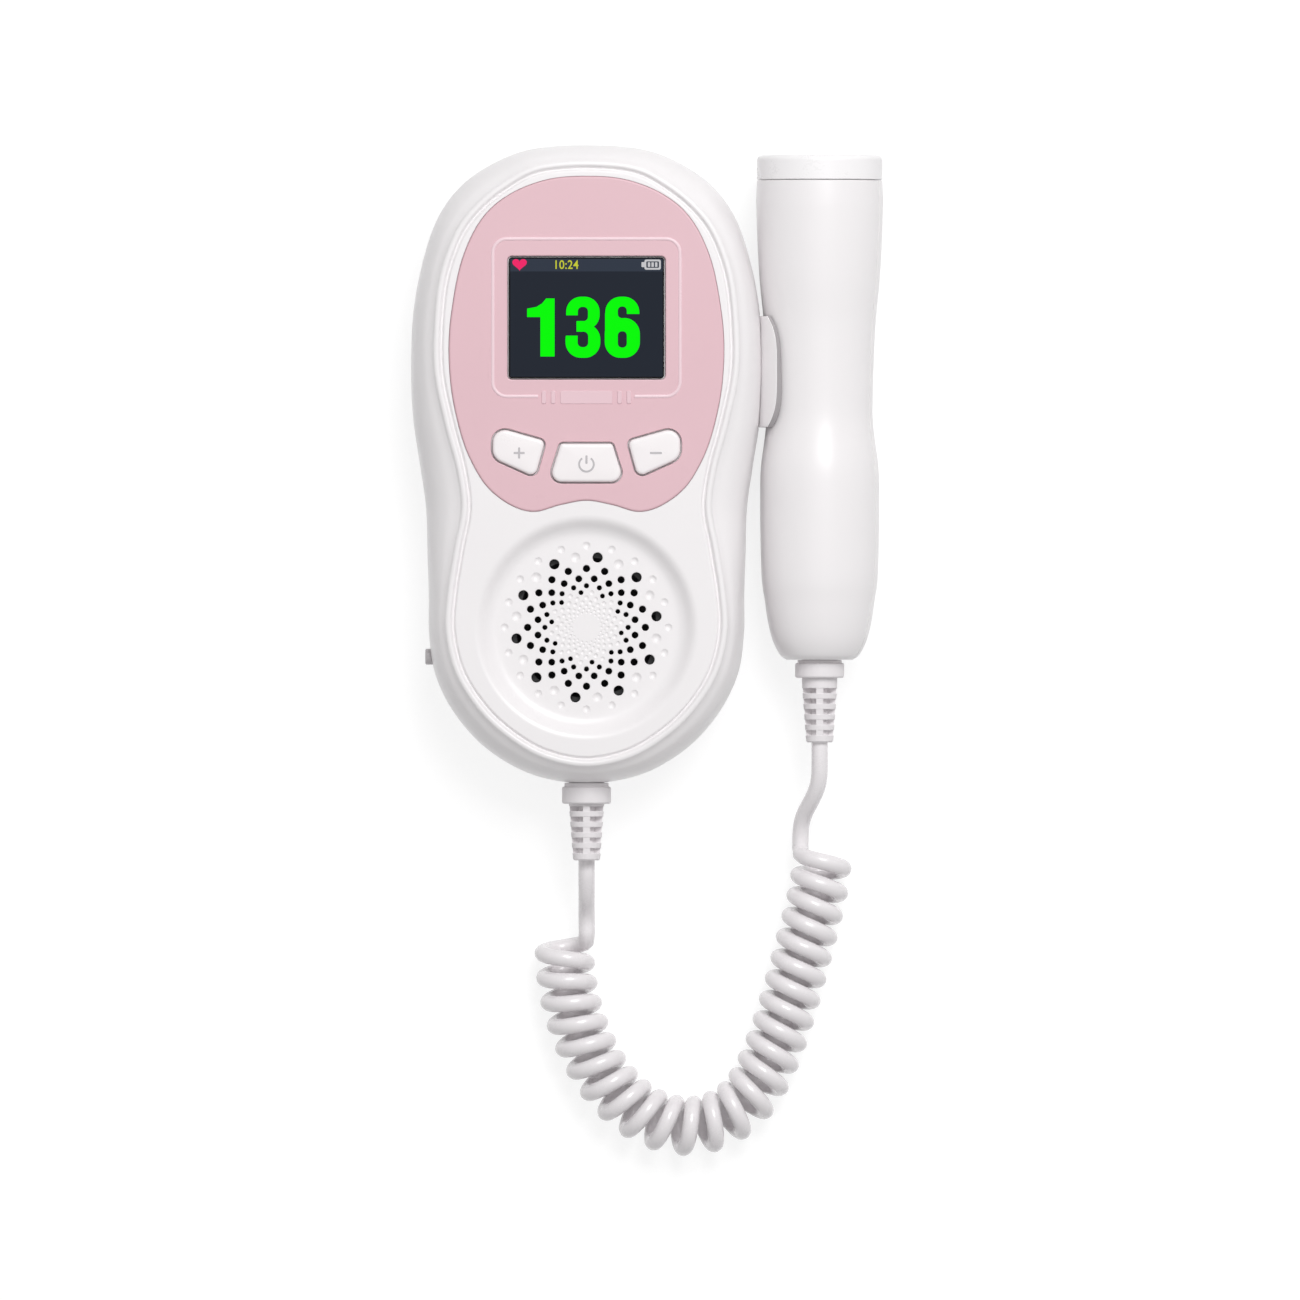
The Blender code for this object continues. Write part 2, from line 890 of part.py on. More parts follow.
def hinge_z():
    return door_recess + door_thickness / 2


def door_half_width():
    return bay_half_width() + door_ledge - fit


def bay_walls(bm):
    side = bay_half_width() + bay_wall
    low = (-side, bay_low_y() - bay_wall, shell_wall / 2)
    high = (side, hinge_y() + door_edge_gap + hook_wall, bay_ceiling_z() + bay_ceiling)
    block(bm, low, high)


def hook_walls(bm):
    side = hook_room_half_width() + hook_wall
    low = (-side, hinge_y() - door_hinge_gap, shell_wall / 2)
    block(bm, low, (side, bay_high_y() + hook_wall, bay_ceiling_z() + bay_ceiling))


def bay_inside(bm):
    side = bay_half_width()
    block(bm, (-side, bay_low_y(), shell_wall), (side, contact_end_y() + fit, bay_ceiling_z()))


def hook_room(bm):
    # The room behind the partition, where the door's hooks turn
    side = hook_room_half_width()
    start = contact_end_y() + fit + partition_thickness
    block(bm, (-side, start, shell_wall), (side, bay_high_y(), bay_ceiling_z()))


def under_partition(bm):
    side = hook_room_half_width()
    middle = contact_end_y() + fit
    low = (-side, middle - overrun, shell_wall / 2)
    block(bm, low, (side, middle + partition_thickness + overrun, door_recess + door_thickness + partition_foot))


def door_opening(bm):
    side = door_half_width() + fit
    low = bay_low_y() - door_foot_ledge
    block(bm, (-side, low, -overrun), (side, hinge_y() + door_edge_gap, shell_wall))


def holder_slots(bm):
    for y in holder_tab_places():
        low, high = holder_tab_box(y)
        low = (low[0] - overrun, low[1] - fit, low[2] - fit)
        high = (high[0] + overrun, high[1] + fit, high[2] + fit)
        block(bm, low, high)


def make_rear_shell():
    shell = solid("rear_shell", rear_outside, white_plastic())
    take(shell, rear_hollow)
    add(shell, rear_bosses)
    add(shell, bay_walls)
    add(shell, hook_walls)
    take(shell, bay_inside)
    take(shell, hook_room)
    take(shell, under_partition)
    take(shell, door_opening)
    take(shell, boss_bores)
    take(shell, holder_seat)
    take(shell, holder_slots)
    take(shell, jack_seat)
    take(shell, relief_seat)
    return shell


def door_plate(bm):
    side = door_half_width()
    low = bay_low_y() - door_foot_ledge + fit
    block(bm, (-side, low, door_recess), (side, hinge_y() - door_hinge_gap, door_recess + door_thickness))


def door_hooks(bm):
    # Two hooks that reach under the shell past the hinge line
    under = shell_wall + fit
    foot = door_recess + door_thickness / 2
    start = hinge_y() - door_hinge_gap - hook_leg
    heel = hinge_y() - door_hinge_gap - fit
    tip = hinge_y() + hook_reach
    top = under + hook_thickness
    outline = [(start, foot), (start, top), (tip, top), (tip, under), (heel, under), (heel, foot)]
    for side in (-1, 1):
        low_x = side * hook_x - hook_width / 2
        loft(bm, [[(x, y, z) for y, z in outline] for x in (low_x, low_x + hook_width)])


def door_grip(bm):
    start = bay_low_y() + door_ledge + overrun
    half = grip_groove_length / 2
    for k in range(grip_groove_count):
        y = start + k * grip_groove_pitch
        block(bm, (-half, y, -overrun), (half, y + grip_groove_width, door_recess + grip_groove_depth))


def make_battery_door():
    door = solid("battery_door", door_plate, white_plastic(), (0, hinge_y(), hinge_z()))
    add(door, door_hooks)
    take(door, door_grip)
    return door


def cell_shape(turn):
    # turn is 1 with the nub at the top end and -1 with it at the foot
    def shape(bm):
        low, high = cell_start_y, cell_end_y()
        radius = cell_diameter / 2
        body = [(low, radius), (high - cell_nub_length, radius)]
        nub = [(high - cell_nub_length, cell_nub_radius), (high, cell_nub_radius)]
        profile = body + nub
        if turn < 0:
            profile = [(low + high - along, r) for along, r in reversed(profile)]
        x = -turn * (cell_diameter + cell_spacing) / 2
        turned(bm, profile, (x, 0, cell_low_z() + radius), "Y", cell_sides)
    return shape


def contact_bridge(bm):
    # One plate joins the two cells at the foot
    half_x = (cell_diameter + cell_spacing + contact_width) / 2
    middle_z = cell_low_z() + cell_diameter / 2
    foot = cell_start_y - fit - contact_thickness
    low = (-half_x, foot, middle_z - contact_height / 2)
    block(bm, low, (half_x, foot + contact_thickness, middle_z + contact_height / 2))


def make_end_contact(name, side):
    # A plate with a sprung cone that meets the cell's end
    x = side * (cell_diameter + cell_spacing) / 2
    middle_z = cell_low_z() + cell_diameter / 2
    high = contact_end_y()
    wide = contact_width * contact_cone_share

    def plate(bm):
        low = (x - contact_width / 2, high - contact_thickness, middle_z - contact_height / 2)
        block(bm, low, (x + contact_width / 2, high, middle_z + contact_height / 2))

    def spring(bm):
        profile = [(cell_end_y() + fit, wide / 2), (high - contact_thickness / 2, wide)]
        turned(bm, profile, (x, 0, middle_z), "Y", boss_sides)

    contact = solid(name, plate, steel())
    add(contact, spring)


# Face, display and keys

def make_face_panel():
    panel = solid("face_panel", lambda bm: prism(bm, panel_outline(), panel_foot_z, panel_top_z), pink_plastic())

    def window(bm):
        opening = rectangle(screen_width + 2 * fit, screen_height + 2 * fit, screen_middle_y, screen_corner + fit)
        prism(bm, opening, panel_foot_z - overrun, panel_top_z + overrun)

    take(panel, window)
    take(panel, key_openings)
    return panel


def make_lens():
    outline = rectangle(screen_width, screen_height, screen_middle_y, screen_corner)
    return solid(
        "display_lens", lambda bm: prism(bm, outline, panel_foot_z, panel_foot_z + lens_thickness), screen_glass()
    )


def lcd_box():
    x = screen_width / 2 + lcd_border
    y = screen_height / 2 + lcd_border
    high = face_inside_z - fit
    return (-x, screen_middle_y - y, high - lcd_thickness), (x, screen_middle_y + y, high)


def make_lcd_module():
    return solid("lcd_module", lambda bm: block(bm, *lcd_box()), dark_plastic())


def make_lcd_frame():
    low, high = lcd_box()
    reach = fit + lcd_frame_wall

    def outside(bm):
        block(bm, (low[0] - reach, low[1] - reach, board_top_z + fit), (high[0] + reach, high[1] + reach, high[2]))

    def inside(bm):
        block(bm, (low[0] - fit, low[1] - fit, low[2] - fit), (high[0] + fit, high[1] + fit, high[2] + overrun))

    def window(bm):
        block(
            bm,
            (low[0] + lcd_border, low[1] + lcd_border, board_height),
            (high[0] - lcd_border, high[1] - lcd_border, high[2] + overrun),
        )

    frame = solid("lcd_frame", outside, white_plastic())
    take(frame, inside)
    take(frame, window)
    return frame


def make_key(name, outline):
    middle = (outline.min(axis=0) + outline.max(axis=0)) / 2
    top = face_z + key_proud
    flange_top = face_inside_z - fit

    def cap(bm):
        rings = [at_height(outline, flange_top - key_flange_thickness / 2), at_height(outline, top - key_top_round)]
        rings.append(at_height(offset(outline, key_top_round / 3), top - key_top_round / 3))
        rings.append(at_height(offset(outline, key_top_round), top))
        loft(bm, rings)

    def flange(bm):
        prism(bm, offset(outline, -key_flange), flange_top - key_flange_thickness, flange_top)

    key = solid(name, cap, white_plastic(), (middle[0], middle[1], flange_top))
    add(key, flange)
    return key


def key_foot_z():
    return face_inside_z - fit - key_flange_thickness


def make_switch(name, outline):
    half = switch_side / 2
    top = key_foot_z() - key_travel - fit
    x, y = (outline.min(axis=0) + outline.max(axis=0)) / 2
    low = (x - half, y - half, board_top_z + fit)
    solid(name, lambda bm: block(bm, low, (x + half, y + half, top)), dark_plastic())


def board(bm):
    x = board_width / 2
    block(bm, (-x, board_bottom_y, board_height), (x, board_top_y, board_top_z))


# Loudspeaker

def speaker_top_z():
    return face_z - dish_depth - dish_floor_wall - fit


def gasket(bm):
    high = speaker_top_z()
    low = high - gasket_thickness
    inner = speaker_radius - gasket_width
    profile = [(low, inner), (low, speaker_radius), (high, speaker_radius), (high, inner)]
    turned(bm, profile, (0, dish_y, 0), "Z", closed=True)


def basket_top_z():
    return speaker_top_z() - gasket_thickness - fit


def basket(bm):
    top = basket_top_z()
    rim = speaker_radius - speaker_rim
    floor = top - speaker_depth
    profile = [
        (top, rim),
        (top, speaker_radius),
        (top - speaker_rim_thickness, speaker_radius),
        (top - speaker_rim_thickness, rim + speaker_sheet),
        (floor, magnet_radius + speaker_sheet),
        (floor, voice_radius),
        (floor + speaker_sheet, voice_radius),
        (floor + speaker_sheet, magnet_radius),
    ]
    turned(bm, profile, (0, dish_y, 0), "Z", closed=True)


def cone(bm):
    top = basket_top_z() - speaker_rim_thickness
    down = (speaker_rim_thickness + cone_sheet) / (speaker_depth - speaker_sheet)
    rim = between(speaker_radius - speaker_rim, magnet_radius, down) - 1.5 * fit
    low = top - speaker_depth / 2
    profile = [
        (top, rim - cone_sheet),
        (top, rim),
        (top - cone_sheet, rim),
        (low, voice_radius),
        (low + cone_sheet / 2, 0),
        (low + cone_sheet * 2, 0),
        (low + cone_sheet, voice_radius),
    ]
    turned(bm, profile, (0, dish_y, 0), "Z", closed=True)


def magnet(bm):
    high = basket_top_z() - speaker_depth - fit
    cylinder(bm, high - magnet_height, high, magnet_radius, (0, dish_y, 0), "Z")


# Jack

def make_jack():
    outline = casing_outline()
    left = outline[outline[:, 0] < 0]
    edge = left[np.argmin(abs(left[:, 1] - jack_y))][0]
    inner = edge + shell_wall + jack_shoulder_gap

    def shape(bm):
        profile = [
            (edge - jack_proud, jack_bore_radius),
            (edge - jack_proud, jack_collar_radius),
            (inner, jack_collar_radius),
            (inner, jack_body_radius),
            (inner + jack_body_length, jack_body_radius),
            (inner + jack_body_length, 0),
            (edge - jack_proud + jack_bore_depth, 0),
            (edge - jack_proud + jack_bore_depth, jack_bore_radius),
        ]
        turned(bm, profile, (0, jack_y, rear_depth), "X", jack_sides, closed=True)

    return solid("headphone_jack", shape, dark_plastic())


# Probe and its holder

def probe_outside():
    shares = probe_profile_shares
    points = [(probe_top_y - along * probe_length, out * probe_radius) for along, out in shares]
    return [(cap_seam_y - parting_gap / 2, cap_radius)] + points


def probe_radius_at(y):
    points = sorted(probe_outside())
    return float(np.interp(y, [p[0] for p in points], [p[1] for p in points]))


def probe_hollow():
    # Inner profile from the foot's bore up to the cap's seam
    foot = probe_foot_y + probe_wall
    bore = relief_neck_radius + fit
    inner = [(along, out - probe_wall) for along, out in probe_outside()[::2] if along > foot + probe_wall]
    points = [(probe_foot_y, bore), (foot, bore)]
    return points + inner[::-1]


def handle_half(name, side):
    profile = probe_outside() + probe_hollow()

    def tube(bm):
        turned(bm, profile, (probe_x, 0, probe_height), "Y", round_sides, closed=True, first_angle=probe_seam_angle)

    half = solid(name, tube, soft_white(), (probe_x, 0, probe_height))

    def other_half(bm):
        # Everything on the far side of the seam's plane, which is turned about the probe's axis
        reach = 2 * probe_radius
        gap = side * parting_gap / 2
        corners = [(-reach, gap), (reach, gap), (reach, -side * reach), (-reach, -side * reach)]
        rings = []
        for y in (probe_foot_y - overrun, probe_top_y + overrun):
            ring = []
            for across, up in corners:
                x = across * math.cos(probe_seam_angle) - up * math.sin(probe_seam_angle)
                z = across * math.sin(probe_seam_angle) + up * math.cos(probe_seam_angle)
                ring.append((probe_x + x, y, probe_height + z))
            rings.append(ring)
        loft(bm, rings)

    take(half, other_half)
    return half


def face_cap(bm):
    seam = cap_seam_y + parting_gap / 2
    spigot_low = cap_seam_y - cap_spigot_length
    spigot = probe_radius_at(spigot_low) - probe_wall - fit
    edge = cap_radius - cap_face_radius
    inner = spigot - cap_spigot_wall
    profile = [
        (spigot_low, inner),
        (spigot_low, spigot),
        (seam, spigot),
        (seam, cap_radius),
        (probe_top_y - edge, cap_radius),
        (probe_top_y - edge * (1 - cap_round_share), cap_radius - edge * (1 - cap_round_share)),
        (probe_top_y, cap_face_radius),
        (probe_top_y, 0),
        (probe_top_y - cap_wall, 0),
        (probe_top_y - cap_wall, inner),
    ]
    turned(bm, profile, (probe_x, 0, probe_height), "Y", round_sides, closed=True)


def crystal_low_y():
    return probe_top_y - cap_wall - fit - crystal_thickness


def make_crystal(name, side):
    # A half disc, one of the sender and the receiver
    ring = []
    for k in range(crystal_steps + 1):
        angle = math.pi * k / crystal_steps
        ring.append((side * (crystal_gap / 2 + crystal_radius * math.sin(angle)), crystal_radius * math.cos(angle)))
    rings = []
    for y in (crystal_low_y(), crystal_low_y() + crystal_thickness):
        rings.append([(probe_x + x, y, probe_height + z) for x, z in ring])
    solid(name, lambda bm: loft(bm, rings), steel())


def backing(bm):
    high = crystal_low_y() - fit
    cylinder(bm, high - backing_thickness, high, crystal_radius + crystal_gap, (probe_x, 0, probe_height), "Y")


def probe_board(bm):
    high = crystal_low_y() - 2 * fit - backing_thickness
    flange_high = probe_foot_y + probe_wall + relief_flange_gap + relief_flange_thickness
    half = probe_board_width / 2
    low_z = probe_height - probe_board_thickness / 2
    low = (probe_x - half, flange_high + probe_board_foot_gap, low_z)
    block(bm, low, (probe_x + half, high, low_z + probe_board_thickness))


def holder_outer_radius():
    return probe_radius_at(holder_bottom_y + holder_length * holder_rest_share) + fit + holder_wall


def holder_band(bm):
    # A band round the probe's waist, whose open side faces up and out, with its tips rounded off
    rings = []
    for share in holder_station_shares:
        y = holder_bottom_y + share * holder_length
        cut = holder_corner_angle * abs(2 * share - 1) ** 4
        start, end = holder_front_angle + cut, holder_rear_angle - cut
        inner = probe_radius_at(y) + fit
        outer = holder_outer_radius()
        ring = []
        for radius, angles in ((outer, (start, end)), (inner, (end, start))):
            for k in range(holder_steps + 1):
                angle = between(*angles, k / holder_steps)
                ring.append((probe_x + radius * math.cos(angle), y, probe_height + radius * math.sin(angle)))
        rings.append(ring)
    loft(bm, rings)


def holder_tab_places():
    middle = holder_bottom_y + holder_length / 2
    return middle - holder_tab_spread, middle + holder_tab_spread


def holder_tab_box(y):
    drop = probe_height - holder_tab_height
    outside = probe_x - math.sqrt(holder_outer_radius() ** 2 - drop ** 2)
    low_z = holder_tab_height - holder_tab_thickness / 2
    low = (outside - holder_tab_depth, y - holder_tab_width / 2, low_z)
    return low, (outside + holder_wall / 2, y + holder_tab_width / 2, low_z + holder_tab_thickness)


def holder_tabs(bm):
    # Two tabs that pass through the rear shell's wall, each with a catch at its end
    for y in holder_tab_places():
        low, high = holder_tab_box(y)
        catch = (low[0], low[1], low[2] - holder_catch)
        corners = [(low[0], catch[2]), (low[0], high[2]), (high[0], high[2]), (high[0], low[2])]
        corners += [(low[0] + holder_catch, low[2]), (low[0] + holder_catch, catch[2])]
        rings = [[(x, place, z) for x, z in corners] for place in (low[1], high[1])]
        loft(bm, rings)


def make_holder():
    holder = solid("probe_holder", holder_band, white_plastic())
    add(holder, holder_tabs)
    return holder


# Strain reliefs

def make_relief(name, x, height, foot_y, wall, gap, collar_length, neck_length):
    flange_low = foot_y + wall + relief_flange_gap
    collar_high = foot_y - gap
    collar_low = collar_high - collar_length
    sleeve_high = collar_low - neck_length
    sleeve_low = sleeve_high - relief_sleeve_length

    def radius_at(y):
        share = (sleeve_high - y) / relief_sleeve_length
        return between(relief_sleeve_radius, relief_tip_radius, share)

    def body(bm):
        profile = [
            (flange_low + relief_flange_thickness, 0),
            (flange_low + relief_flange_thickness, relief_flange_radius),
            (flange_low, relief_flange_radius),
            (flange_low, relief_neck_radius),
            (collar_high, relief_neck_radius),
            (collar_high, relief_collar_radius),
            (collar_low, relief_collar_radius),
            (collar_low, relief_sleeve_radius),
        ]
        for k in range(relief_slot_count):
            top = sleeve_high - relief_first_slot - k * relief_slot_pitch
            low = top - relief_slot_height
            profile += [(top, radius_at(top)), (top, relief_core_radius)]
            profile += [(low, relief_core_radius), (low, radius_at(low))]
        profile += [(sleeve_low, relief_tip_radius), (sleeve_low, 0)]
        turned(bm, profile, (x, 0, height), "Y", relief_sides)

    def ribs(bm):
        # The bars that bridge the slots at the front and the rear
        inset = (relief_tip_radius - relief_core_radius) / 8
        half = relief_rib_width / 2
        high_y, low_y = sleeve_high + collar_length / 4, sleeve_low + relief_slot_height / 4
        outline = [
            (high_y, radius_at(sleeve_high) - inset),
            (low_y, relief_tip_radius - inset),
            (low_y, inset - relief_tip_radius),
            (high_y, inset - radius_at(sleeve_high)),
        ]
        loft(bm, [[(x + side * half, y, height + z) for y, z in outline] for side in (-1, 1)])

    relief = solid(name, body, soft_white())
    add(relief, ribs)
    return relief, sleeve_low


# Cord

def tube(name, points, sides_level):
    curve = bpy.data.curves.new(name, "CURVE")
    curve.dimensions = "3D"
    curve.bevel_depth = cord_diameter / 2
    curve.bevel_resolution = sides_level
    curve.use_fill_caps = True
    spline = curve.splines.new("POLY")
    spline.points.add(len(points) - 1)
    for point, place in zip(spline.points, points):
        point.co = (*place, 1.0)
    made = bpy.data.objects.new(name, curve)
    bpy.context.scene.collection.objects.link(made)
    curve.materials.append(soft_white())
    return made


def lead(name, route):
    # A smooth run down the route, with a short straight end square to what it meets
    route = np.array(route)
    stub = np.array((0, -cord_diameter / 2, 0))
    inner = route.copy()
    inner[0] += stub
    inner[-1] -= stub
    length = np.linalg.norm(np.diff(inner, axis=0), axis=1).sum()
    steps = max(4, round(length / (2 * cord_diameter)))
    down = ((0, -1, 0), (0, -1, 0))
    middle = smooth_open(inner, np.linspace(0, 1, steps + 1), down)
    return tube(name, [route[0], *middle, route[-1]], 2)


def curl_path():
    # A left-handed helix round the route, with straight ends. Its pitch opens a little in the bend,
    # so the curls stay clear of each other on the inside.
    samples = 4000
    ends = ((0, -1), (0, 1))
    middle = smooth_open(coil_route, np.linspace(0, 1, samples), ends)
    steps = np.diff(middle, axis=0)
    lengths = np.linalg.norm(steps, axis=1)
    far = np.r_[0, np.cumsum(lengths)]
    heading = np.unwrap(np.arctan2(np.gradient(middle[:, 1]), np.gradient(middle[:, 0])))
    bend = np.abs(np.gradient(heading, far))
    radius = (curl_outer_diameter - cord_diameter) / 2

    def eased(distance):
        t = np.clip((distance - curl_straight) / curl_ease, 0, 1)
        return t * t * (3 - 2 * t)

    rate = eased(far) * eased(far[-1] - far) * (1 - curl_spread * radius * bend)
    turn = np.r_[0, np.cumsum((rate[1:] + rate[:-1]) / 2 * lengths)]
    turn = turn / turn[-1] * curl_count
    angle = -2 * math.pi * turn
    side = np.c_[-np.sin(heading), np.cos(heading)]
    height = curl_outer_diameter / 2 + coil_lift
    flat = middle + radius * np.cos(angle)[:, None] * side
    fine = np.c_[flat, height + radius * np.sin(angle)]
    # Points at even steps of the turn, and two at each straight end
    wanted = np.linspace(0, curl_count, curl_count * curl_points + 1)
    picked = [0, int(np.searchsorted(far, curl_straight * 0.5))]
    picked += [int(np.searchsorted(turn, share)) for share in wanted[1:-1]]
    picked += [int(np.searchsorted(far, far[-1] - curl_straight * 0.5)), samples - 1]
    return fine[picked], fine


def least_gap(points):
    # The least distance between the tube's surface and itself, more than half a curl along
    reach = math.pi * (curl_outer_diameter - cord_diameter) / 2
    far = np.r_[0, np.cumsum(np.linalg.norm(np.diff(points, axis=0), axis=1))]
    even = np.linspace(0, far[-1], 2400)
    path = np.array([np.interp(even, far, points[:, k]) for k in range(3)]).T
    least = far[-1]
    for i, place in enumerate(path):
        away = path[even > even[i] + reach]
        if len(away):
            least = min(least, np.linalg.norm(away - place, axis=1).min())
    return least - cord_diameter, far[-1]


def make_curly_cord():
    points, fine = curl_path()
    gap, length = least_gap(points)
    print("curly cord: least gap %.2f mm, length %.1f mm" % (gap / mm, length / mm))
    return tube("curly_cord", points, 1)


def build():
    clear_scene()
    make_front_shell()
    make_rear_shell()
    make_face_panel()
    make_lens()
    make_lcd_module()
    make_lcd_frame()
    make_key("plus_button", plus_outline())
    make_key("power_button", power_outline())
    make_key("minus_button", minus_outline())
    make_switch("plus_switch", plus_outline())
    make_switch("power_switch", power_outline())
    make_switch("minus_switch", minus_outline())
    solid("main_board", board, board_green())
    solid("speaker_gasket", gasket, dark_plastic())
    solid("speaker_basket", basket, steel())
    solid("speaker_cone", cone, dark_plastic())
    solid("speaker_magnet", magnet, steel())
    make_battery_door()
    solid("battery_cell_left", cell_shape(1), steel())
    solid("battery_cell_right", cell_shape(-1), steel())
    solid("battery_bridge", contact_bridge, steel())
    make_end_contact("battery_contact_left", -1)
    make_end_contact("battery_contact_right", 1)
    make_jack()
    make_screws()
    make_holder()
    make_relief(
        "unit_strain_relief", 0.0, relief_height, case_foot_y, shell_wall,
        unit_relief_gap, unit_collar_length, unit_relief_neck,
    )
    make_relief(
        "probe_strain_relief", probe_x, probe_height, probe_foot_y, probe_wall,
        probe_relief_gap, probe_collar_length, probe_relief_neck,
    )
    handle_half("probe_front_shell", 1)
    handle_half("probe_rear_shell", -1)
    solid("probe_face_cap", face_cap, soft_white())
    make_crystal("sender_crystal", -1)
    make_crystal("receiver_crystal", 1)
    solid("transducer_backing", backing, dark_plastic())
    solid("probe_board", probe_board, board_green())
    lead("unit_cord_lead", unit_lead_route)
    make_curly_cord()
    lead("probe_cord_lead", probe_lead_route)


build()
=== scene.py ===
# Fetal doppler: casing, keys, display, probe, holder and curly cord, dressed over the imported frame
import math
import bmesh
import bpy
import numpy as np
from mathutils import Matrix, Vector


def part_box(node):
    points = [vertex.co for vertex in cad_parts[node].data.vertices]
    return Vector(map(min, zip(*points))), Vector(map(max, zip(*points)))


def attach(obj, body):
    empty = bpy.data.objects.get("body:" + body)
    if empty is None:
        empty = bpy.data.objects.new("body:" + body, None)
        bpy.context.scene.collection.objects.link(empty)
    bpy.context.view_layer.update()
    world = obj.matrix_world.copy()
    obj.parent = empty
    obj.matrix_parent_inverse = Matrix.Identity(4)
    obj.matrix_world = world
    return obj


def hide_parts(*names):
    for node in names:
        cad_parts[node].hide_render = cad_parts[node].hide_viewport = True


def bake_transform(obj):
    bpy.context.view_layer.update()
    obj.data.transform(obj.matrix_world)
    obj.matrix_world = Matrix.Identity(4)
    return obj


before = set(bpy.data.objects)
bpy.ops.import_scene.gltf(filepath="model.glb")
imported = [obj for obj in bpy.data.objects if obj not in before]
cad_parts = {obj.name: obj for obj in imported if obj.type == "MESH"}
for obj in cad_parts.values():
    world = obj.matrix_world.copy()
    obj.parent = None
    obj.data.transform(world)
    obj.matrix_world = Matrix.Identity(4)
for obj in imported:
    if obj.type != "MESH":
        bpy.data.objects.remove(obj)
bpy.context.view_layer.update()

mm = 0.001
print("frame loaded:", len(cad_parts), "nodes")


def inMm(**sizes):
    # named lengths and places written in millimetres, as metres
    def scaled(value):
        return value * mm if isinstance(value, (int, float)) else [scaled(v) for v in value]
    return {name: scaled(value) for name, value in sizes.items()}


def middleOf(node):
    low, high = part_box(node)
    return (low + high) / 2


# Main places, read from the frame
rearLow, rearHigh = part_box("rear_shell")
holderLow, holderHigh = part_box("probe_holder")
halfWidth = -rearLow.x
halfLength = (rearHigh.y - rearLow.y) / 2
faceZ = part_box("display_lens")[1].z
seamZ = (rearHigh.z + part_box("front_shell")[0].z) / 2
dishY = middleOf("speaker_gasket").y
probeX, _, probeZ = middleOf("probe_face_cap")
fit = 0.3 * mm  # play between a part and its opening
close = 0.06 * mm  # where two finished pieces meet in a fine line
past = 2 * mm  # how far cutters overrun
sliver = 0.002 * mm  # edges shorter than this are closed up
bevelShare = 0.3  # where the middle point of a broken edge lies, as a share of its width


# Outlines, all clockwise seen from above

def stretch(a, b, c, d, steps):
    # from b towards c along the smooth curve through all four
    bend, twist = 2 * a - 5 * b + 4 * c - d, 3 * b - 3 * c + d - a
    return [(2 * b + (c - a) * t + bend * t ** 2 + twist * t ** 3) / 2 for t in np.arange(steps) / steps]


def smoothLoop(points, steps):
    # a closed curve through the points, steps to a stretch
    points = np.array(points, float)
    places = [np.roll(points, shift, axis=0) for shift in (1, 0, -1, -2)]
    return np.array([p for four in zip(*places) for p in stretch(*four, steps)])


def smoothRun(points, steps):
    # the same curve with open ends
    points = [np.array(p, float) for p in points]
    points = [2 * points[0] - points[1], *points, 2 * points[-1] - points[-2]]
    run = [p for four in zip(points, points[1:], points[2:], points[3:]) for p in stretch(*four, steps)]
    return run + [points[-2]]


def bothSides(shares, across, along):
    right = [(x * across, y * along) for x, y in shares]
    return right + [(-x, y) for x, y in right[-2:0:-1]]


def inward(outline, distance):
    edgeIn = outline - np.roll(outline, 1, axis=0)
    edgeOut = np.roll(edgeIn, -1, axis=0)
    na = np.c_[edgeIn[:, 1], -edgeIn[:, 0]] / np.linalg.norm(edgeIn, axis=1)[:, None]
    nb = np.c_[edgeOut[:, 1], -edgeOut[:, 0]] / np.linalg.norm(edgeOut, axis=1)[:, None]
    n = (na + nb) / np.linalg.norm(na + nb, axis=1)[:, None]
    return outline + distance * n / np.maximum((n * na).sum(axis=1), 0.5)[:, None]


def rounded(corners, radii, steps=8):
    corners = [np.array(c, float) for c in corners]
    out = []
    for i, corner in enumerate(corners):
        back, on = corners[i - 1] - corner, corners[(i + 1) % len(corners)] - corner
        back, on = back / np.linalg.norm(back), on / np.linalg.norm(on)
        half = math.acos(max(-1, min(1, back @ on))) / 2
        centre = corner + (back + on) / np.linalg.norm(back + on) * radii[i] / math.sin(half)
        first = corner + back * radii[i] / math.tan(half) - centre
        last = corner + on * radii[i] / math.tan(half) - centre
        sweep = math.atan2(first[0] * last[1] - first[1] * last[0], first @ last)
        for k in range(steps + 1):
            c, s = math.cos(sweep * k / steps), math.sin(sweep * k / steps)
            out.append(centre + np.array((first[0] * c - first[1] * s, first[0] * s + first[1] * c)))
    return np.array(out)


def oblong(halfAcross, low, high, radius, steps=8, x=0.0):
    left, right = x - halfAcross, x + halfAcross
    return rounded([(left, high), (right, high), (right, low), (left, low)], [radius] * 4, steps)


def quarter(steps):
    # sines and cosines from 0 to 90 degrees
    turn = np.linspace(0, math.pi / 2, steps + 1)
    return list(zip(np.sin(turn), np.cos(turn)))


def level(outline, z):
    return [(x, y, z) for x, y in outline]


def domed(outline, low, top, radius, steps):
    # straight sides with a rounded upper edge
    rise = [level(inward(outline, radius * (1 - c)), top - radius + radius * s) for s, c in quarter(steps)]
    return [level(outline, low)] + rise


def holeRings(hole, low, top, rim):
    # an opening whose upper edge is broken by the rim; the last ring but one stands a hair over the top
    wide = inward(hole, -rim)
    return [level(hole, low - past), level(hole, top - rim),
            level(inward(hole, -rim * bevelShare), top - rim * bevelShare),
            level(wide, top + rim * 0.01), level(wide, top + past)]


# Modelling

def onlySelect(*pieces):
    bpy.ops.object.select_all(action="DESELECT")
    for piece in pieces:
        piece.select_set(True)
    bpy.context.view_layer.objects.active = pieces[0]


def nameIt(piece, name):
    piece.name = piece.data.name = name
    return piece


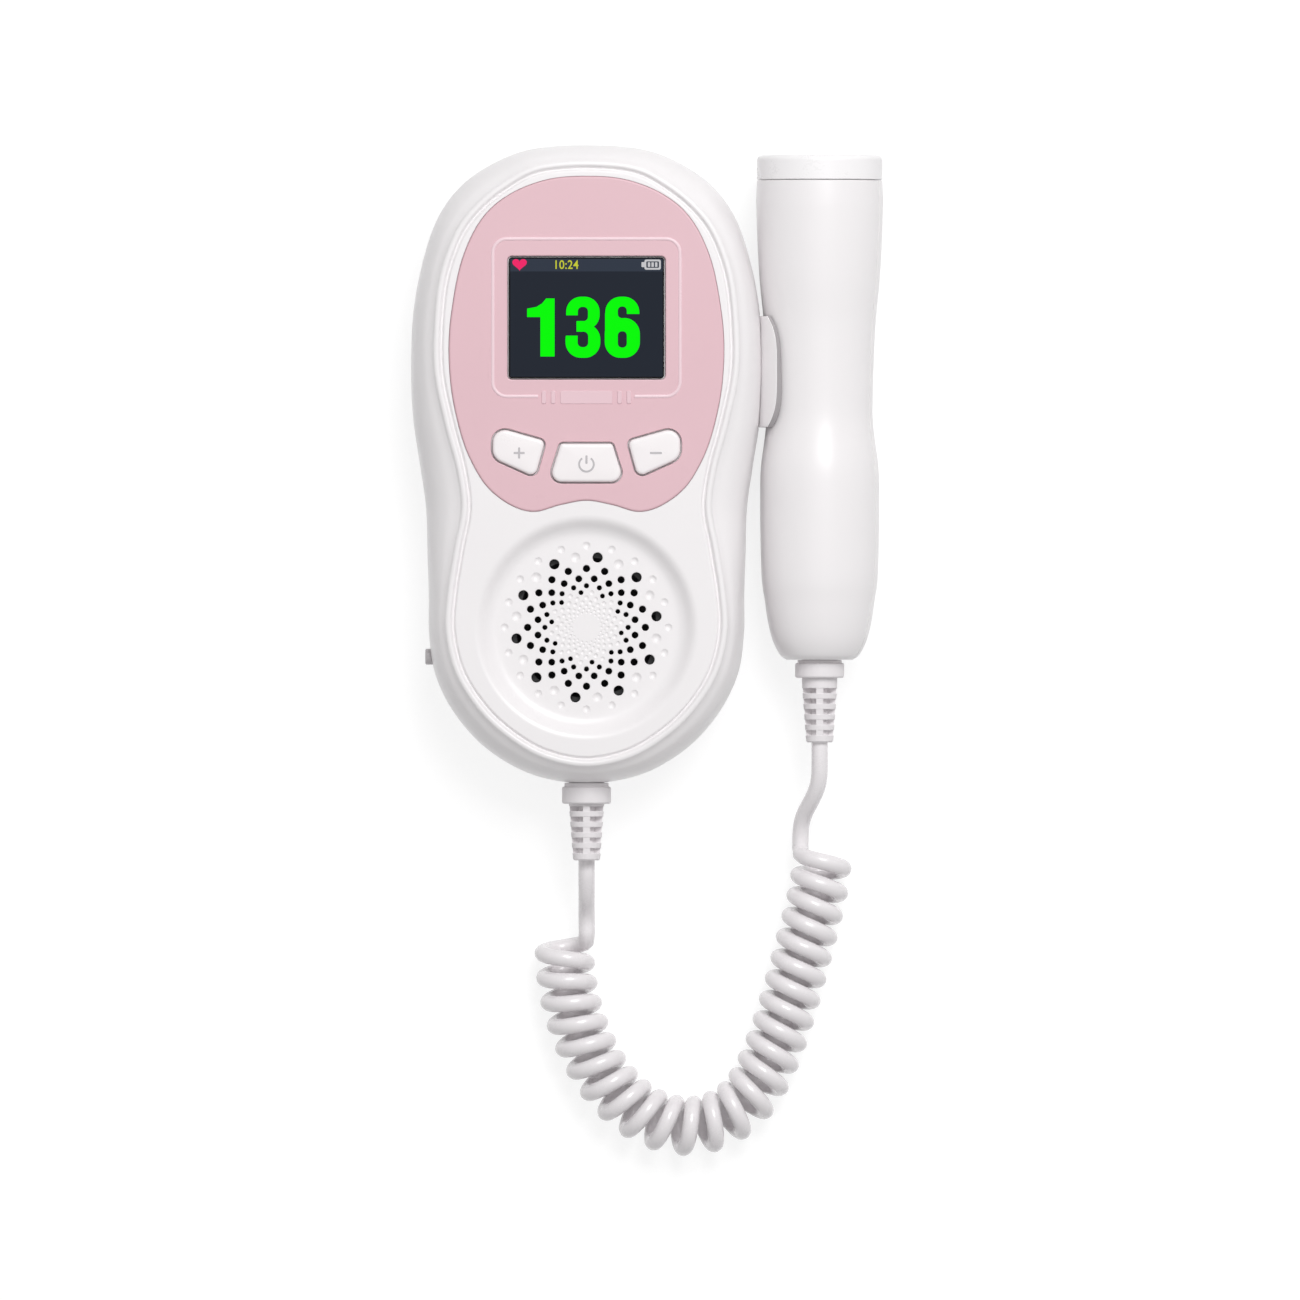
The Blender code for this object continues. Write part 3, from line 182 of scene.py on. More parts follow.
def applied(piece, kind, **settings):
    # one modifier, set and applied
    modifier = piece.modifiers.new("step", kind)
    for key, value in settings.items():
        setattr(modifier, key, value)
    onlySelect(piece)
    bpy.ops.object.modifier_apply(modifier=modifier.name)
    return piece


def closeUp(piece, distance, turnOut=True):
    # points nearer than the distance merged, and faces of no width taken out
    onlySelect(piece)
    bpy.ops.object.mode_set(mode="EDIT")
    bpy.ops.mesh.select_all(action="SELECT")
    bpy.ops.mesh.remove_doubles(threshold=distance)
    bpy.ops.mesh.dissolve_degenerate(threshold=sliver)
    if turnOut:
        bpy.ops.mesh.normals_make_consistent(inside=False)
    bpy.ops.object.mode_set(mode="OBJECT")


def placeRing(piece, ring):
    work = bmesh.from_edit_mesh(piece.data)
    work.verts.ensure_lookup_table()
    for vertex, place in zip(work.verts[-len(ring):], ring):
        vertex.co = place
    bmesh.update_edit_mesh(piece.data)


def ringBody(name, rings, looped=False):
    # a circle laid on the first ring and extruded from ring to ring; looped joins the last to the first
    bpy.ops.object.select_all(action="DESELECT")
    bpy.ops.mesh.primitive_circle_add(vertices=len(rings[0]), radius=mm)
    piece = nameIt(bpy.context.object, name)
    bpy.ops.object.mode_set(mode="EDIT")
    placeRing(piece, rings[0])
    if not looped:
        bpy.ops.mesh.edge_face_add()
    for ring in rings[1:] + ([rings[0]] if looped else []):
        bpy.ops.mesh.extrude_region_move()
        placeRing(piece, ring)
    bpy.ops.mesh.select_all(action="SELECT")
    if looped:
        bpy.ops.mesh.remove_doubles(threshold=sliver)
    bpy.ops.mesh.normals_make_consistent(inside=False)
    bpy.ops.object.mode_set(mode="OBJECT")
    return piece


def turned(name, profile, centre, sides=32, looped=False):
    # a lathed body: centre has None for the axis it is turned round, profile a place along that and a radius
    axis = centre.index(None)
    first, second = ((1, 2), (0, 2), (1, 0))[axis]
    turn = np.arange(sides) * 2 * math.pi / sides
    rings = []
    for along, radius in profile:
        ring = np.full((sides, 3), float(along))
        ring[:, first] = centre[first] + radius * np.cos(turn)
        ring[:, second] = centre[second] + radius * np.sin(turn)
        rings.append(ring)
    return ringBody(name, rings, looped)


def slab(name, outline, low, high):
    return ringBody(name, [level(outline, low), level(outline, high)])


def brick(name, low, high):
    corners = [(low[0], high[1]), (high[0], high[1]), (high[0], low[1]), (low[0], low[1])]
    return slab(name, corners, low[2], high[2])


def gather(pieces):
    onlySelect(*pieces)
    bpy.ops.object.join()
    return bpy.context.object


def copyTo(pattern, x, y):
    copy = pattern.copy()
    copy.data = pattern.data.copy()
    copy.data.transform(Matrix.Translation((x, y, 0)))
    bpy.context.scene.collection.objects.link(copy)
    return copy


def discard(piece):
    bpy.data.objects.remove(piece, do_unlink=True)


def combine(piece, tools, operation):
    for tool in tools:
        applied(piece, "BOOLEAN", operation=operation, object=tool)
        discard(tool)
    return piece


def cut(piece, *tools):
    return combine(piece, tools, "DIFFERENCE")


def unite(piece, *tools):
    return combine(piece, tools, "UNION")


def softenEdges(piece, width, angle, segments):
    return applied(piece, "BEVEL", width=width, segments=segments, limit_method="ANGLE",
                   angle_limit=math.radians(angle))


def dress(piece, look, nodes, angle):
    # smooth shading, a finish, and the CAD nodes that the piece stands for
    onlySelect(piece)
    bpy.ops.object.shade_smooth_by_angle(angle=math.radians(angle))
    piece.data.materials.clear()
    piece.data.materials.append(look)
    if nodes:
        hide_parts(*nodes)


def finishPiece(piece, look, slot, body, *nodes, angle=32):
    # edges of no length closed up, shading, finish, and the body that it moves with
    closeUp(piece, sliver, turnOut=False)
    dress(piece, look, nodes, angle)
    applied(piece, "WEIGHTED_NORMAL", keep_sharp=True)
    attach(piece, body)


# Finishes

class Wire:
    # a node's output that takes part in sums
    def __init__(self, look, socket):
        self.look, self.socket = look, socket

    def __add__(self, other):
        return self.look.work("ADD", self, other)

    def __sub__(self, other):
        return self.look.work("SUBTRACT", self, other)

    def __rsub__(self, other):
        return self.look.work("SUBTRACT", other, self)

    def __mul__(self, other):
        return self.look.work("MULTIPLY", self, other)

    def __gt__(self, other):
        return self.look.work("GREATER_THAN", self, other)

    __radd__, __rmul__ = __add__, __mul__


class Look:
    # a material under construction, or the world
    def __init__(self, name, world=None, **sockets):
        self.result = world or bpy.data.materials.new(name)
        self.result.use_nodes = True
        self.tree = self.result.node_tree
        self.shader = self.tree.nodes["Background" if world else "Principled BSDF"]
        self.coords = self.node("ShaderNodeTexCoord", out="Object")
        self.feed(self.shader, sockets)

    def feed(self, made, sockets):
        for key, value in sockets.items():
            socket = made.inputs[key.replace("_", " ") if isinstance(key, str) else key]
            if isinstance(value, Wire):
                self.tree.links.new(value.socket, socket)
            else:
                socket.default_value = value

    def finish(self, **sockets):
        self.feed(self.shader, sockets)
        return self.result

    def node(self, kind, settings=None, sockets=None, out=0):
        made = self.tree.nodes.new(kind)
        for key, value in (settings or {}).items():
            setattr(made, key, value)
        self.feed(made, sockets or {})
        return Wire(self, made.outputs[out])

    def work(self, operation, *values):
        return self.node("ShaderNodeMath", {"operation": operation}, dict(enumerate(values)))

    def noise(self, grain, detail=2.0, vector=None):
        # grain is the size of its patches in millimetres
        return self.node("ShaderNodeTexNoise", None,
                         {"Vector": vector or self.coords, "Scale": 1 / (grain * mm), "Detail": detail})

    def mix(self, share, a, b):
        return self.node("ShaderNodeMix", {"data_type": "RGBA"}, {0: share, 6: a, 7: b}, 2)

    def bump(self, height, distance):
        # distance is the relief in millimetres
        return self.node("ShaderNodeBump", None, {"Height": height, "Distance": distance * mm}, "Normal")

    def axis(self, name):
        return self.node("ShaderNodeSeparateXYZ", None, {0: self.coords}, name)

    def seenPlainly(self):
        # 1 for what the camera, a reflection or glass shows, 0 for the light that falls on the object
        kinds = ("Camera", "Glossy", "Transmission")
        camera, glossy, through = (self.node("ShaderNodeLightPath", out="Is %s Ray" % kind) for kind in kinds)
        return camera + glossy + through


def paint(red, green, blue):
    # a colour as it is read off a screen, 0 to 255, made linear
    def linear(c):
        c = c / 255
        return c / 12.92 if c <= 0.04045 else ((c + 0.055) / 1.055) ** 2.4
    return (linear(red), linear(green), linear(blue), 1)


def shaded(colour, share):
    return (*(c * share for c in colour[:3]), 1)


def moulded(name, colour, gloss, grain=0.35, relief=0.012, patch=22, depth=0.03, coat=(0, 0.03)):
    # moulded plastic: a broad soft tone, fine spark grain, a gloss that wanders a little, and a clear coat
    look = Look(name, Coat_Weight=coat[0], Coat_Roughness=coat[1])
    colour = paint(*colour)
    cloud, fine, handled = look.noise(patch, 3), look.noise(grain, 3), look.noise(patch * 0.4, 4)
    return look.finish(
        Base_Color=look.mix(cloud * 0.7 + fine * 0.3,
                            shaded(colour, 1 - depth), shaded(colour, 1 + depth * 0.5)),
        Roughness=gloss + (handled - 0.5) * 0.16 + (fine - 0.5) * 0.1,
        Normal=look.bump(look.noise(5, 1) * 0.6 + fine * 0.4, relief))


def rubber(name, colour, gloss):
    return moulded(name, colour, gloss, 0.25, 0.02, 8, 0.12)


def metal(name, colour, gloss):
    look = Look(name, Metallic=1.0)
    colour = paint(*colour)
    drawn = look.node("ShaderNodeMapping", None, {"Vector": look.coords, "Scale": (1, 14, 1)})
    brushed = look.noise(1.5, 4.0, drawn)
    return look.finish(Base_Color=look.mix(brushed, shaded(colour, 0.82), colour),
                       Roughness=gloss + (brushed - 0.5) * 0.2, Normal=look.bump(brushed, 0.01))


def circuitBoard(name):
    look = Look(name, Coat_Weight=0.4, Coat_Roughness=0.2)
    waves = {"Vector": look.coords, "Scale": 300.0, "Distortion": 6.0, "Detail": 1.0, "Detail Scale": 0.4}
    tracks = look.node("ShaderNodeTexWave", {"wave_type": "BANDS"}, waves) > 0.72
    cloth = look.noise(1.2, 2)
    green, copper = paint(24, 92, 52), paint(44, 122, 70)
    return look.finish(Base_Color=look.mix(tracks * 0.8, look.mix(cloth, shaded(green, 0.85), green), copper),
                       Roughness=0.38 + cloth * 0.12, Normal=look.bump(tracks * 0.5 + cloth * 0.2, 0.04))


def wrapped(name, low, high):
    # a cell's printed wrapper with one plain band from low to high at its nub end
    look = Look(name, Coat_Weight=0.5, Coat_Roughness=0.15)
    y, creases = look.axis("Y"), look.noise(3, 3)
    grey, band = paint(58, 62, 70), paint(196, 138, 74)
    inBand = (y > low) * (1 - (y > high))
    return look.finish(Base_Color=look.mix(inBand, look.mix(creases, shaded(grey, 0.85), grey), band),
                       Roughness=0.28 + creases * 0.14, Metallic=inBand * 0.6,
                       Normal=look.bump(creases, 0.03))


def paintedShadeInside(name, colour, paintedShade, radius):
    # white plastic whose side towards the probe's axis, within the radius, has painted shade: a darker colour
    # for the shade on the holder's end faces and inside
    look = Look(name)
    colour, paintedShade = paint(*colour), paint(*paintedShade)
    across, up = look.axis("X") - probeX, look.axis("Z") - probeZ
    # painted shade: the darker colour within the radius, plain white beyond it
    outside = across * across + up * up > radius ** 2
    cloud, fine = look.noise(22, 3), look.noise(0.35, 3)
    dull = look.mix(outside, shaded(paintedShade, 0.94), shaded(colour, 0.97))
    bright = look.mix(outside, paintedShade, colour)
    return look.finish(Base_Color=look.mix(cloud * 0.7 + fine * 0.3, dull, bright),
                       Roughness=0.6 - outside * 0.25 + (fine - 0.5) * 0.1, Normal=look.bump(fine, 0.012))


def lit(name, colour, strength=1.0):
    # a lit part of the display, with the faint grid of its points
    look = Look(name, Roughness=0.3, Specular_IOR_Level=0, Emission_Strength=strength)
    colour = paint(*colour)
    half = screen["pointPitch"] / 2
    rows, columns = (look.work("PINGPONG", look.axis(name), half) * (1 / half) > 0.12 for name in "YX")
    gridLine = 1 - rows * columns
    return look.finish(Base_Color=look.mix(gridLine, shaded(colour, 0.05), shaded(colour, 0.02)),
                       Emission_Color=look.mix(gridLine * 0.12, colour, shaded(colour, 0.4)))


def displayGlass(name):
    # dark glass over the display, with its lighter status bar and a black border printed behind it
    look = Look(name, Specular_IOR_Level=0.1, Emission_Strength=1.0)
    x, y = look.axis("X"), look.axis("Y")
    across, up = look.work("ABSOLUTE", x), look.work("ABSOLUTE", y - screen["middleY"])
    border, top = screen["border"], screen["middleY"] + screen["halfUp"]
    inside = (1 - (across > screen["halfAcross"] - border)) * (1 - (up > screen["halfUp"] - border))
    bar = y > top - screen["barHeight"]
    slate = look.mix(bar * 0.85, paint(26, 32, 43), paint(46, 54, 68))
    return look.finish(Base_Color=look.mix(inside, paint(4, 4, 5), paint(5, 6, 9)),
                       Emission_Color=look.mix(inside, (0, 0, 0, 1), slate),
                       Roughness=0.07 + look.noise(9, 3) * 0.08)


whiteShell = (243, 240, 241)
looks = {
    "casing": moulded("casingPlastic", whiteShell, 0.34, coat=(0.15, 0.2)),
    "panel": moulded("panelPlastic", (225, 187, 195), 0.42, 0.3, 0.02, 30, 0.035),
    "tab": moulded("tabPlastic", (230, 197, 205), 0.36, 0.3, 0.01, 30),
    # painted highlight: a lighter pink than the panel for the light the raised line catches along its crest
    "paintedHighlightTrim": moulded("trimPaintedHighlight", (240, 212, 219), 0.3, 0.3, 0.01, 30),
    "keys": moulded("keyPlastic", (247, 242, 243), 0.3, 0.3, 0.008, coat=(0.2, 0.15)),
    "handle": moulded("handlePlastic", whiteShell, 0.33, 0.3, 0.009, 30, coat=(0.2, 0.2)),
    "cap": moulded("capPlastic", (248, 246, 247), 0.3, 0.4, 0.006, 12),
    "soft": moulded("sleevePlastic", (236, 232, 234), 0.5, 0.25, 0.02, 9, 0.05),
    "cord": moulded("cordJacket", (239, 235, 237), 0.26, 0.25, 0.012, 9, 0.04, (0.5, 0.12)),
    "ink": moulded("signInk", (190, 186, 189), 0.5, 0.2, 0.008, 3, 0.08),
    "dark": rubber("darkPlastic", (30, 30, 33), 0.5),
    "jack": moulded("jackPlastic", (202, 198, 200), 0.4, 0.25, 0.01, 4, 0.1),
    "cone": rubber("conePaper", (17, 17, 18), 0.8),
    "foam": rubber("gasketFoam", (24, 24, 25), 0.9),
    "steel": metal("plainSteel", (196, 196, 198), 0.32),
    "plated": metal("platedSteel", (208, 206, 200), 0.24),
    "board": circuitBoard("circuitBoard"),
    "ceramic": moulded("crystalCeramic", (196, 186, 160), 0.35, 0.2, 0.01, 5, 0.08),
}
print("finishes made:", len(looks))


# Camera, floor and light

view = {
    **inMm(frameWidth=293.6, middle=(14.355, -42.39), floorDrop=0.05),
    "lens": 1000, "sensor": 36, "floorSize": 8, "ambient": 0.4, "floorGlow": 0.79,
    # name, place and size in metres, and power
    "lamps": [("keyLamp", (0.26, 0.57, 1.1), 0.6, 9.9), ("topLamp", (0.05, -0.05, 1.5), 1.2, 1.2)],
}


def makeCamera():
    distance = view["frameWidth"] * view["lens"] / view["sensor"]
    bpy.ops.object.camera_add(location=(*view["middle"], faceZ + distance), rotation=(0, 0, 0))
    camera = bpy.context.object
    camera.data.lens = view["lens"]
    camera.data.sensor_width = view["sensor"]
    bpy.context.scene.camera = camera


def makeLight():
    target = Vector((*view["middle"], 0))
    for name, place, size, power in view["lamps"]:
        turn = (target - Vector(place)).to_track_quat("-Z", "Y").to_euler()
        bpy.ops.object.light_add(type="AREA", location=place, rotation=turn)
        lamp = bpy.context.object
        lamp.name = name
        lamp.data.size = size
        lamp.data.energy = power
    sky = Look("studio", bpy.data.worlds.new("studio"), Color=(1, 1, 1, 1))
    strength = {"Value": sky.seenPlainly(), "To Min": view["ambient"], "To Max": 1}
    bpy.context.scene.world = sky.finish(Strength=sky.node("ShaderNodeMapRange", None, strength))
    bpy.context.scene.view_settings.view_transform = "Standard"


def makeFloor():
    bpy.ops.mesh.primitive_plane_add(size=view["floorSize"], location=(0, 0, -view["floorDrop"]))
    floor = nameIt(bpy.context.object, "floor")
    look = Look("floorPaper", Roughness=0.9, Specular_IOR_Level=0.1)
    seen = look.seenPlainly()
    pale, grey, black, white = ((c, c, c, 1) for c in (0.75, 0.3, 0.0, 1.0))
    floor.data.materials.append(look.finish(
        Base_Color=look.mix(seen, pale, grey), Emission_Color=look.mix(seen, black, white),
        Emission_Strength=view["floorGlow"]))


# Cord, one tube from sleeve to sleeve

cordSizes = {
    **inMm(diameter=3.7, curlAcross=13.7, straight=1.5, ease=3.0, lift=0.15, hidden=0.9),
    "curls": 25, "curlPoints": 24, "sides": 7, "spread": 0.4, "leadPoints": 25, "samples": 6000,
    "straightShares": (0.25, 0.5, 0.75),
}
coilRoute = [(-0.00495, -0.1055), (-0.0049, -0.1135), (-0.0026, -0.1255), (0.0032, -0.138), (0.012, -0.1469),
             (0.0235, -0.1502), (0.0346, -0.1457), (0.0416, -0.1345), (0.0463, -0.1205), (0.0502, -0.106),
             (0.0529, -0.094), (0.0534, -0.086)]
unitLead = [(0.0, -0.0905, 0.014), (0.0, -0.094, 0.0136), (0.0, -0.098, 0.0113), (0.0, -0.1018, 0.008),
            (0.00002, -0.1052, 0.007)]
probeLead = [(0.05274, -0.0639, 0.016), (0.05274, -0.068, 0.0158), (0.0524, -0.0726, 0.0146),
             (0.0506, -0.077, 0.0116), (0.0487, -0.0816, 0.008), (0.04842, -0.0857, 0.007)]


def splineBy(points, shares, start, end):
    # a cubic spline by distance that leaves along start and arrives along end
    points = np.array(points, float)
    knots = np.r_[0, np.cumsum(np.linalg.norm(np.diff(points, axis=0), axis=1))]
    gaps, count = np.diff(knots), len(points)
    system, wanted = np.eye(count), np.zeros(points.shape)
    for i in range(1, count - 1):
        before, after = gaps[i - 1], gaps[i]
        system[i, i - 1:i + 2] = (after, 2 * (before + after), before)
        rise, nextRise = points[i] - points[i - 1], points[i + 1] - points[i]
        wanted[i] = 3 * (rise / before * after + nextRise / after * before)
    wanted[0], wanted[-1] = start, end
    slopes = np.linalg.solve(system, wanted)
    out = []
    for place in np.array(shares) * knots[-1]:
        i = min(int(np.searchsorted(knots, place, side="right")) - 1, count - 2)
        h, t = gaps[i], (place - knots[i]) / gaps[i]
        out.append((2 * t ** 3 - 3 * t ** 2 + 1) * points[i] + (t ** 3 - 2 * t ** 2 + t) * h * slopes[i]
                   + (3 * t ** 2 - 2 * t ** 3) * points[i + 1] + (t ** 3 - t ** 2) * h * slopes[i + 1])
    return np.array(out)


def leadPath(route):
    # straight for half a diameter as it leaves the sleeve
    route = np.array(route, float)
    exitPlace = route[0].copy()
    route[0, 1] -= cordSizes["diameter"] / 2
    down = (0, -1, 0)
    middle = splineBy(route, np.linspace(0, 1, cordSizes["leadPoints"]), down, down)
    return [exitPlace + (0, cordSizes["hidden"], 0), exitPlace, *middle]


def curlPath():
    # a left-handed helix round the route, eased to straight at its ends
    size = cordSizes
    middle = splineBy(coilRoute, np.linspace(0, 1, size["samples"]), (0, -1), (0, 1))
    lengths = np.linalg.norm(np.diff(middle, axis=0), axis=1)
    far = np.r_[0, np.cumsum(lengths)]
    heading = np.unwrap(np.arctan2(np.gradient(middle[:, 1]), np.gradient(middle[:, 0])))
    bend = np.abs(np.gradient(heading, far))
    radius = (size["curlAcross"] - size["diameter"]) / 2

    def eased(distance):
        t = np.clip((distance - size["straight"]) / size["ease"], 0, 1)
        return t * t * (3 - 2 * t)

    rate = eased(far) * eased(far[-1] - far) * (1 - size["spread"] * radius * bend)
    turn = np.r_[0, np.cumsum((rate[1:] + rate[:-1]) / 2 * lengths)]
    turn *= size["curls"] / turn[-1]
    angle = -2 * math.pi * turn
    side = np.c_[-np.sin(heading), np.cos(heading)]
    flat = middle + radius * np.cos(angle)[:, None] * side
    path = np.c_[flat, size["curlAcross"] / 2 + size["lift"] + radius * np.sin(angle)]
    ends = size["straight"] * np.array(size["straightShares"])
    curls = np.linspace(0, size["curls"], size["curls"] * size["curlPoints"] + 1)[1:-1]
    picked = [*np.searchsorted(far, ends), *np.searchsorted(turn, curls),
              *np.searchsorted(far, far[-1] - ends[::-1])]
    return [path[i] for i in picked]


def makeCord():
    path = leadPath(unitLead) + curlPath() + leadPath(probeLead)[::-1]
    curve = bpy.data.curves.new("curlyCord", "CURVE")
    curve.dimensions = "3D"
    curve.bevel_depth = cordSizes["diameter"] / 2
    curve.bevel_resolution = cordSizes["sides"]
    curve.use_fill_caps = True
    spline = curve.splines.new("POLY")
    spline.points.add(len(path) - 1)
    for point, place in zip(spline.points, path):
        point.co = (*place, 1)
    cord = bpy.data.objects.new("curlyCord", curve)
    bpy.context.scene.collection.objects.link(cord)
    onlySelect(cord)
    bpy.ops.object.convert(target="MESH")
    cord = bpy.context.object
    closeUp(cord, sliver)
    dress(cord, looks["cord"], ("unit_cord_lead", "curly_cord", "probe_cord_lead"), 50)
    length = float(sum(np.linalg.norm(b - a) for a, b in zip(path, path[1:])))
    print("cord: %.1f mm long, %d points" % (length / mm, len(path)))
    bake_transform(cord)


# Casing

casing = {
    **inMm(
        wall=2.4, seam=0.3, seamRound=0.35, footDrop=0.55, footOut=1.8, rearInset=10.5, hollowInset=0.4,
        overlap=0.6, postRadius=3.2, boreRadius=1.55, boreChamfer=0.6, headRadius=2.4, headDrop=5.0,
        headHeight=1.8, screwReach=7.0, screwRadius=1.25,
        screws=[(26, 48), (-26, 48), (24.5, -50), (-24.5, -50)],
        # across from the groove line, inward, and up from the face
        ridge=[(-1.8, -0.55), (-1.62, -0.2), (-1.36, 0.07), (-1.02, 0.19), (-0.68, 0.19), (-0.42, 0.05),
               (-0.22, -0.24), (-0.02, -0.55), (0.18, -0.66), (0.38, -0.55), (0.56, -0.24), (0.74, -0.05),
               (1.0, 0.0)]),
    "steps": 8, "postFootShare": 0.92, "rearFloorShare": 0.63,
    # the rounding at the seam, inward and away from it, and the height where the side starts
    "lipShares": [(1, 0), (0.3, 0.15)], "lipTop": 0.6,
    "outlineShares": [
        (0.0, 0.995), (0.307, 0.983), (0.52, 0.941), (0.708, 0.871), (0.844, 0.771), (0.932, 0.633),
        (0.987, 0.47), (1.0, 0.29), (0.987, 0.133), (0.947, -0.014), (0.914, -0.145), (0.907, -0.276),
        (0.899, -0.415), (0.897, -0.539), (0.861, -0.666), (0.746, -0.791), (0.559, -0.901), (0.302, -0.979),
        (0.0, -1.005)],
    "grooveShares": [
        (0.0, 0.922), (0.27, 0.908), (0.45, 0.858), (0.602, 0.79), (0.71, 0.71), (0.79, 0.59), (0.823, 0.455),
        (0.826, 0.29), (0.77, 0.133), (0.697, -0.02), (0.67, -0.145), (0.71, -0.27), (0.75, -0.41),
        (0.76, -0.53), (0.705, -0.655), (0.577, -0.765), (0.42, -0.845), (0.23, -0.905), (0.0, -0.93)],
    # from the outline in to the groove's foot, and up from the seam
    "slopeShares": [(0, 0), (0.02, 0.22), (0.1, 0.46), (0.3, 0.68), (0.58, 0.85), (0.86, 0.945), (1, 1)],
    # the same for the hollow
    "hollowShares": [(0.0, -0.1), (0.08, 0.36), (0.38, 0.62)],
    # inward from the outline, and up from the rear face
    "rearShares": [(1.0, 0.0), (0.72, 0.05), (0.44, 0.157), (0.19, 0.36), (0.04, 0.64), (0, 1)],
    "rearHollowShares": [(0.0, 1.1), (0.04, 0.64), (0.21, 0.36)],
}
dish = {
    **inMm(
        rim=24.4, floor=21.4, depth=2.5, under=1.6, mouth=0.06,
        # down from the face and out from the middle
        slope=[(2.5, 18.6), (2.49, 19.8), (2.42, 20.8), (2.2, 21.6), (1.78, 22.4), (1.22, 23.1), (0.68, 23.7),
               (0.27, 24.3), (0.06, 24.9), (0.0, 25.5)],
        # a hole's edge, down from the floor and out from its radius
        holeEdge=[(0.22, 0), (0.08, 0.05), (-0.06, 0.2)]),
    # a dimple's depth and radius, in shares of its radius, and how wide its mouth is
    "dimple": [(0.5, 0.3), (0.34, 0.75), (0.1, 1.0)], "dimpleMouth": 1.25,
    "sides": 144, "holeSides": 20, "dimpleSides": 14, "places": 20,
    # row radius and hole radius in millimetres, how many, first place, and whether it goes through
    "rows": [
        (18.5, 0.8, 20, 0, False), (16.0, 1.13, 10, 0.5, True), (16.0, 1.0, 10, 1.5, False),
        (13.3, 0.8, 20, 0, True), (11.1, 0.75, 20, 0.5, True), (9.4, 0.566, 20, 0, True),
        (7.95, 0.526, 10, 1.5, True), (7.95, 0.5, 10, 0.5, False), (6.7, 0.5, 20, 0, False),
        (5.7, 0.43, 20, 0.5, False), (4.8, 0.37, 20, 0, False), (4.05, 0.31, 20, 0.5, False),
        (3.4, 0.26, 20, 0, False)],
}


def casingLine(shares, steps=casing["steps"]):
    return smoothLoop(bothSides(casing[shares], halfWidth, halfLength), steps)


def posts(low, high, radius, sides=32):
    profile = [(low, radius), (high, radius)]
    return gather([turned("post", profile, (x, y, None), sides) for x, y in casing["screws"]])


def sleeveNotch():
    # where the sleeve's neck passes through the seam
    radius, low = relief["neck"] + fit, rearLow.y - past
    profile = [(low, radius), (low + 2 * past + casing["wall"], radius)]
    return turned("notch", profile, (0, None, seamZ), sides=48)


def holderRecess():
    profile = [(y, holder["outer"] + close) for y in (holderLow.y - fit, holderHigh.y + fit)]
    return turned("recess", profile, (probeX, None, probeZ), sides=96)


def jackRecess():
    profile = [(x, jack["collar"] + fit) for x in (-halfWidth / 2, -halfWidth - past)]
    return turned("jackCut", profile, (None, jack["y"], seamZ), sides=40)


def grilleCutters():
    floorZ = faceZ - dish["depth"]
    cutters = []
    for row, radius, count, first, through in dish["rows"]:
        row, radius = row * mm, radius * mm
        if through:
            profile = [(floorZ - dish["under"] - past, radius)]
            profile += [(floorZ - down, radius + out) for down, out in dish["holeEdge"]]
        else:
            profile = [(floorZ - radius * down, radius * out) for down, out in dish["dimple"]]
            profile.append((floorZ + dish["mouth"], radius * dish["dimpleMouth"]))
        pattern = turned("hole", profile, (0, 0, None), dish["holeSides" if through else "dimpleSides"])
        for k in range(count):
            angle = (first / dish["places"] + k / count) * 2 * math.pi
            cutters.append(copyTo(pattern, row * math.sin(angle), dishY + row * math.cos(angle)))
        discard(pattern)
    return gather(cutters)


def makeFrontCasing():
    outer, groove = casingLine("outlineShares"), casingLine("grooveShares")
    foot = inward(groove, -casing["footOut"])
    wall, lip, insideZ = casing["wall"], casing["seamRound"], faceZ - casing["wall"]
    low = seamZ + casing["seam"] / 2
    depth = faceZ - casing["footDrop"] - low
    rings = [level(inward(outer, a * lip), low + b * lip) for a, b in casing["lipShares"]]
    for share, up in smoothRun(casing["slopeShares"], steps=4):
        z = max(low + up * depth, low + lip * casing["lipTop"])
        rings.append(level(outer + (foot - outer) * share, z))
    rings += [level(inward(groove, across), faceZ + up)
              for across, up in smoothRun(casing["ridge"], steps=2)[1:]]
    shell = ringBody("frontCasing", rings)
    coarse = casingLine("outlineShares", steps=2)
    coarseFoot = inward(casingLine("grooveShares", steps=2), -casing["footOut"])
    hollow = []
    for share, up in casing["hollowShares"]:
        ring = inward(coarse + (coarseFoot - coarse) * share, wall)
        hollow.append(level(ring, seamZ + up * (faceZ - seamZ)))
    hollow.append(level(inward(coarseFoot, wall + casing["hollowInset"]), insideZ))
    cut(shell, ringBody("hollow", hollow))
    unite(shell, posts(low, insideZ + casing["overlap"], casing["postRadius"]))
    cut(shell, posts(low - past, seamZ + casing["screwReach"] + fit, casing["boreRadius"], sides=20))
    under, floorZ, middle = dish["under"], faceZ - dish["depth"] - dish["under"], (0, dishY, None)
    cup = [(floorZ, dish["floor"] + under), (floorZ + under, dish["rim"] + under),
           (insideZ + casing["overlap"], dish["rim"] + under)]
    unite(shell, turned("cup", cup, middle, dish["sides"]))
    bowl = [(faceZ - down, r) for down, r in smoothRun(dish["slope"], steps=2)]
    bowl.append((faceZ + past, bowl[-1][1]))
    panelLine = inward(panelOutline(), -close)
    keyCuts = [slab("keyCut", inward(keyOutline(name), -close), insideZ - past, faceZ)
               for name in keys["shapes"]]
    cut(shell, turned("bowl", bowl, middle, dish["sides"]),
        slab("panelCut", panelLine, faceZ - panel["recess"], faceZ + past),
        slab("window", screenOutline(-panel["lensLedge"]), insideZ - past, faceZ),
        gather(keyCuts), grilleCutters(), holderRecess(), jackRecess(), sleeveNotch())
    finishPiece(shell, looks["casing"], "white_plastic", "unit", "front_shell")
    print("front casing made")


# Rear casing with the battery bay

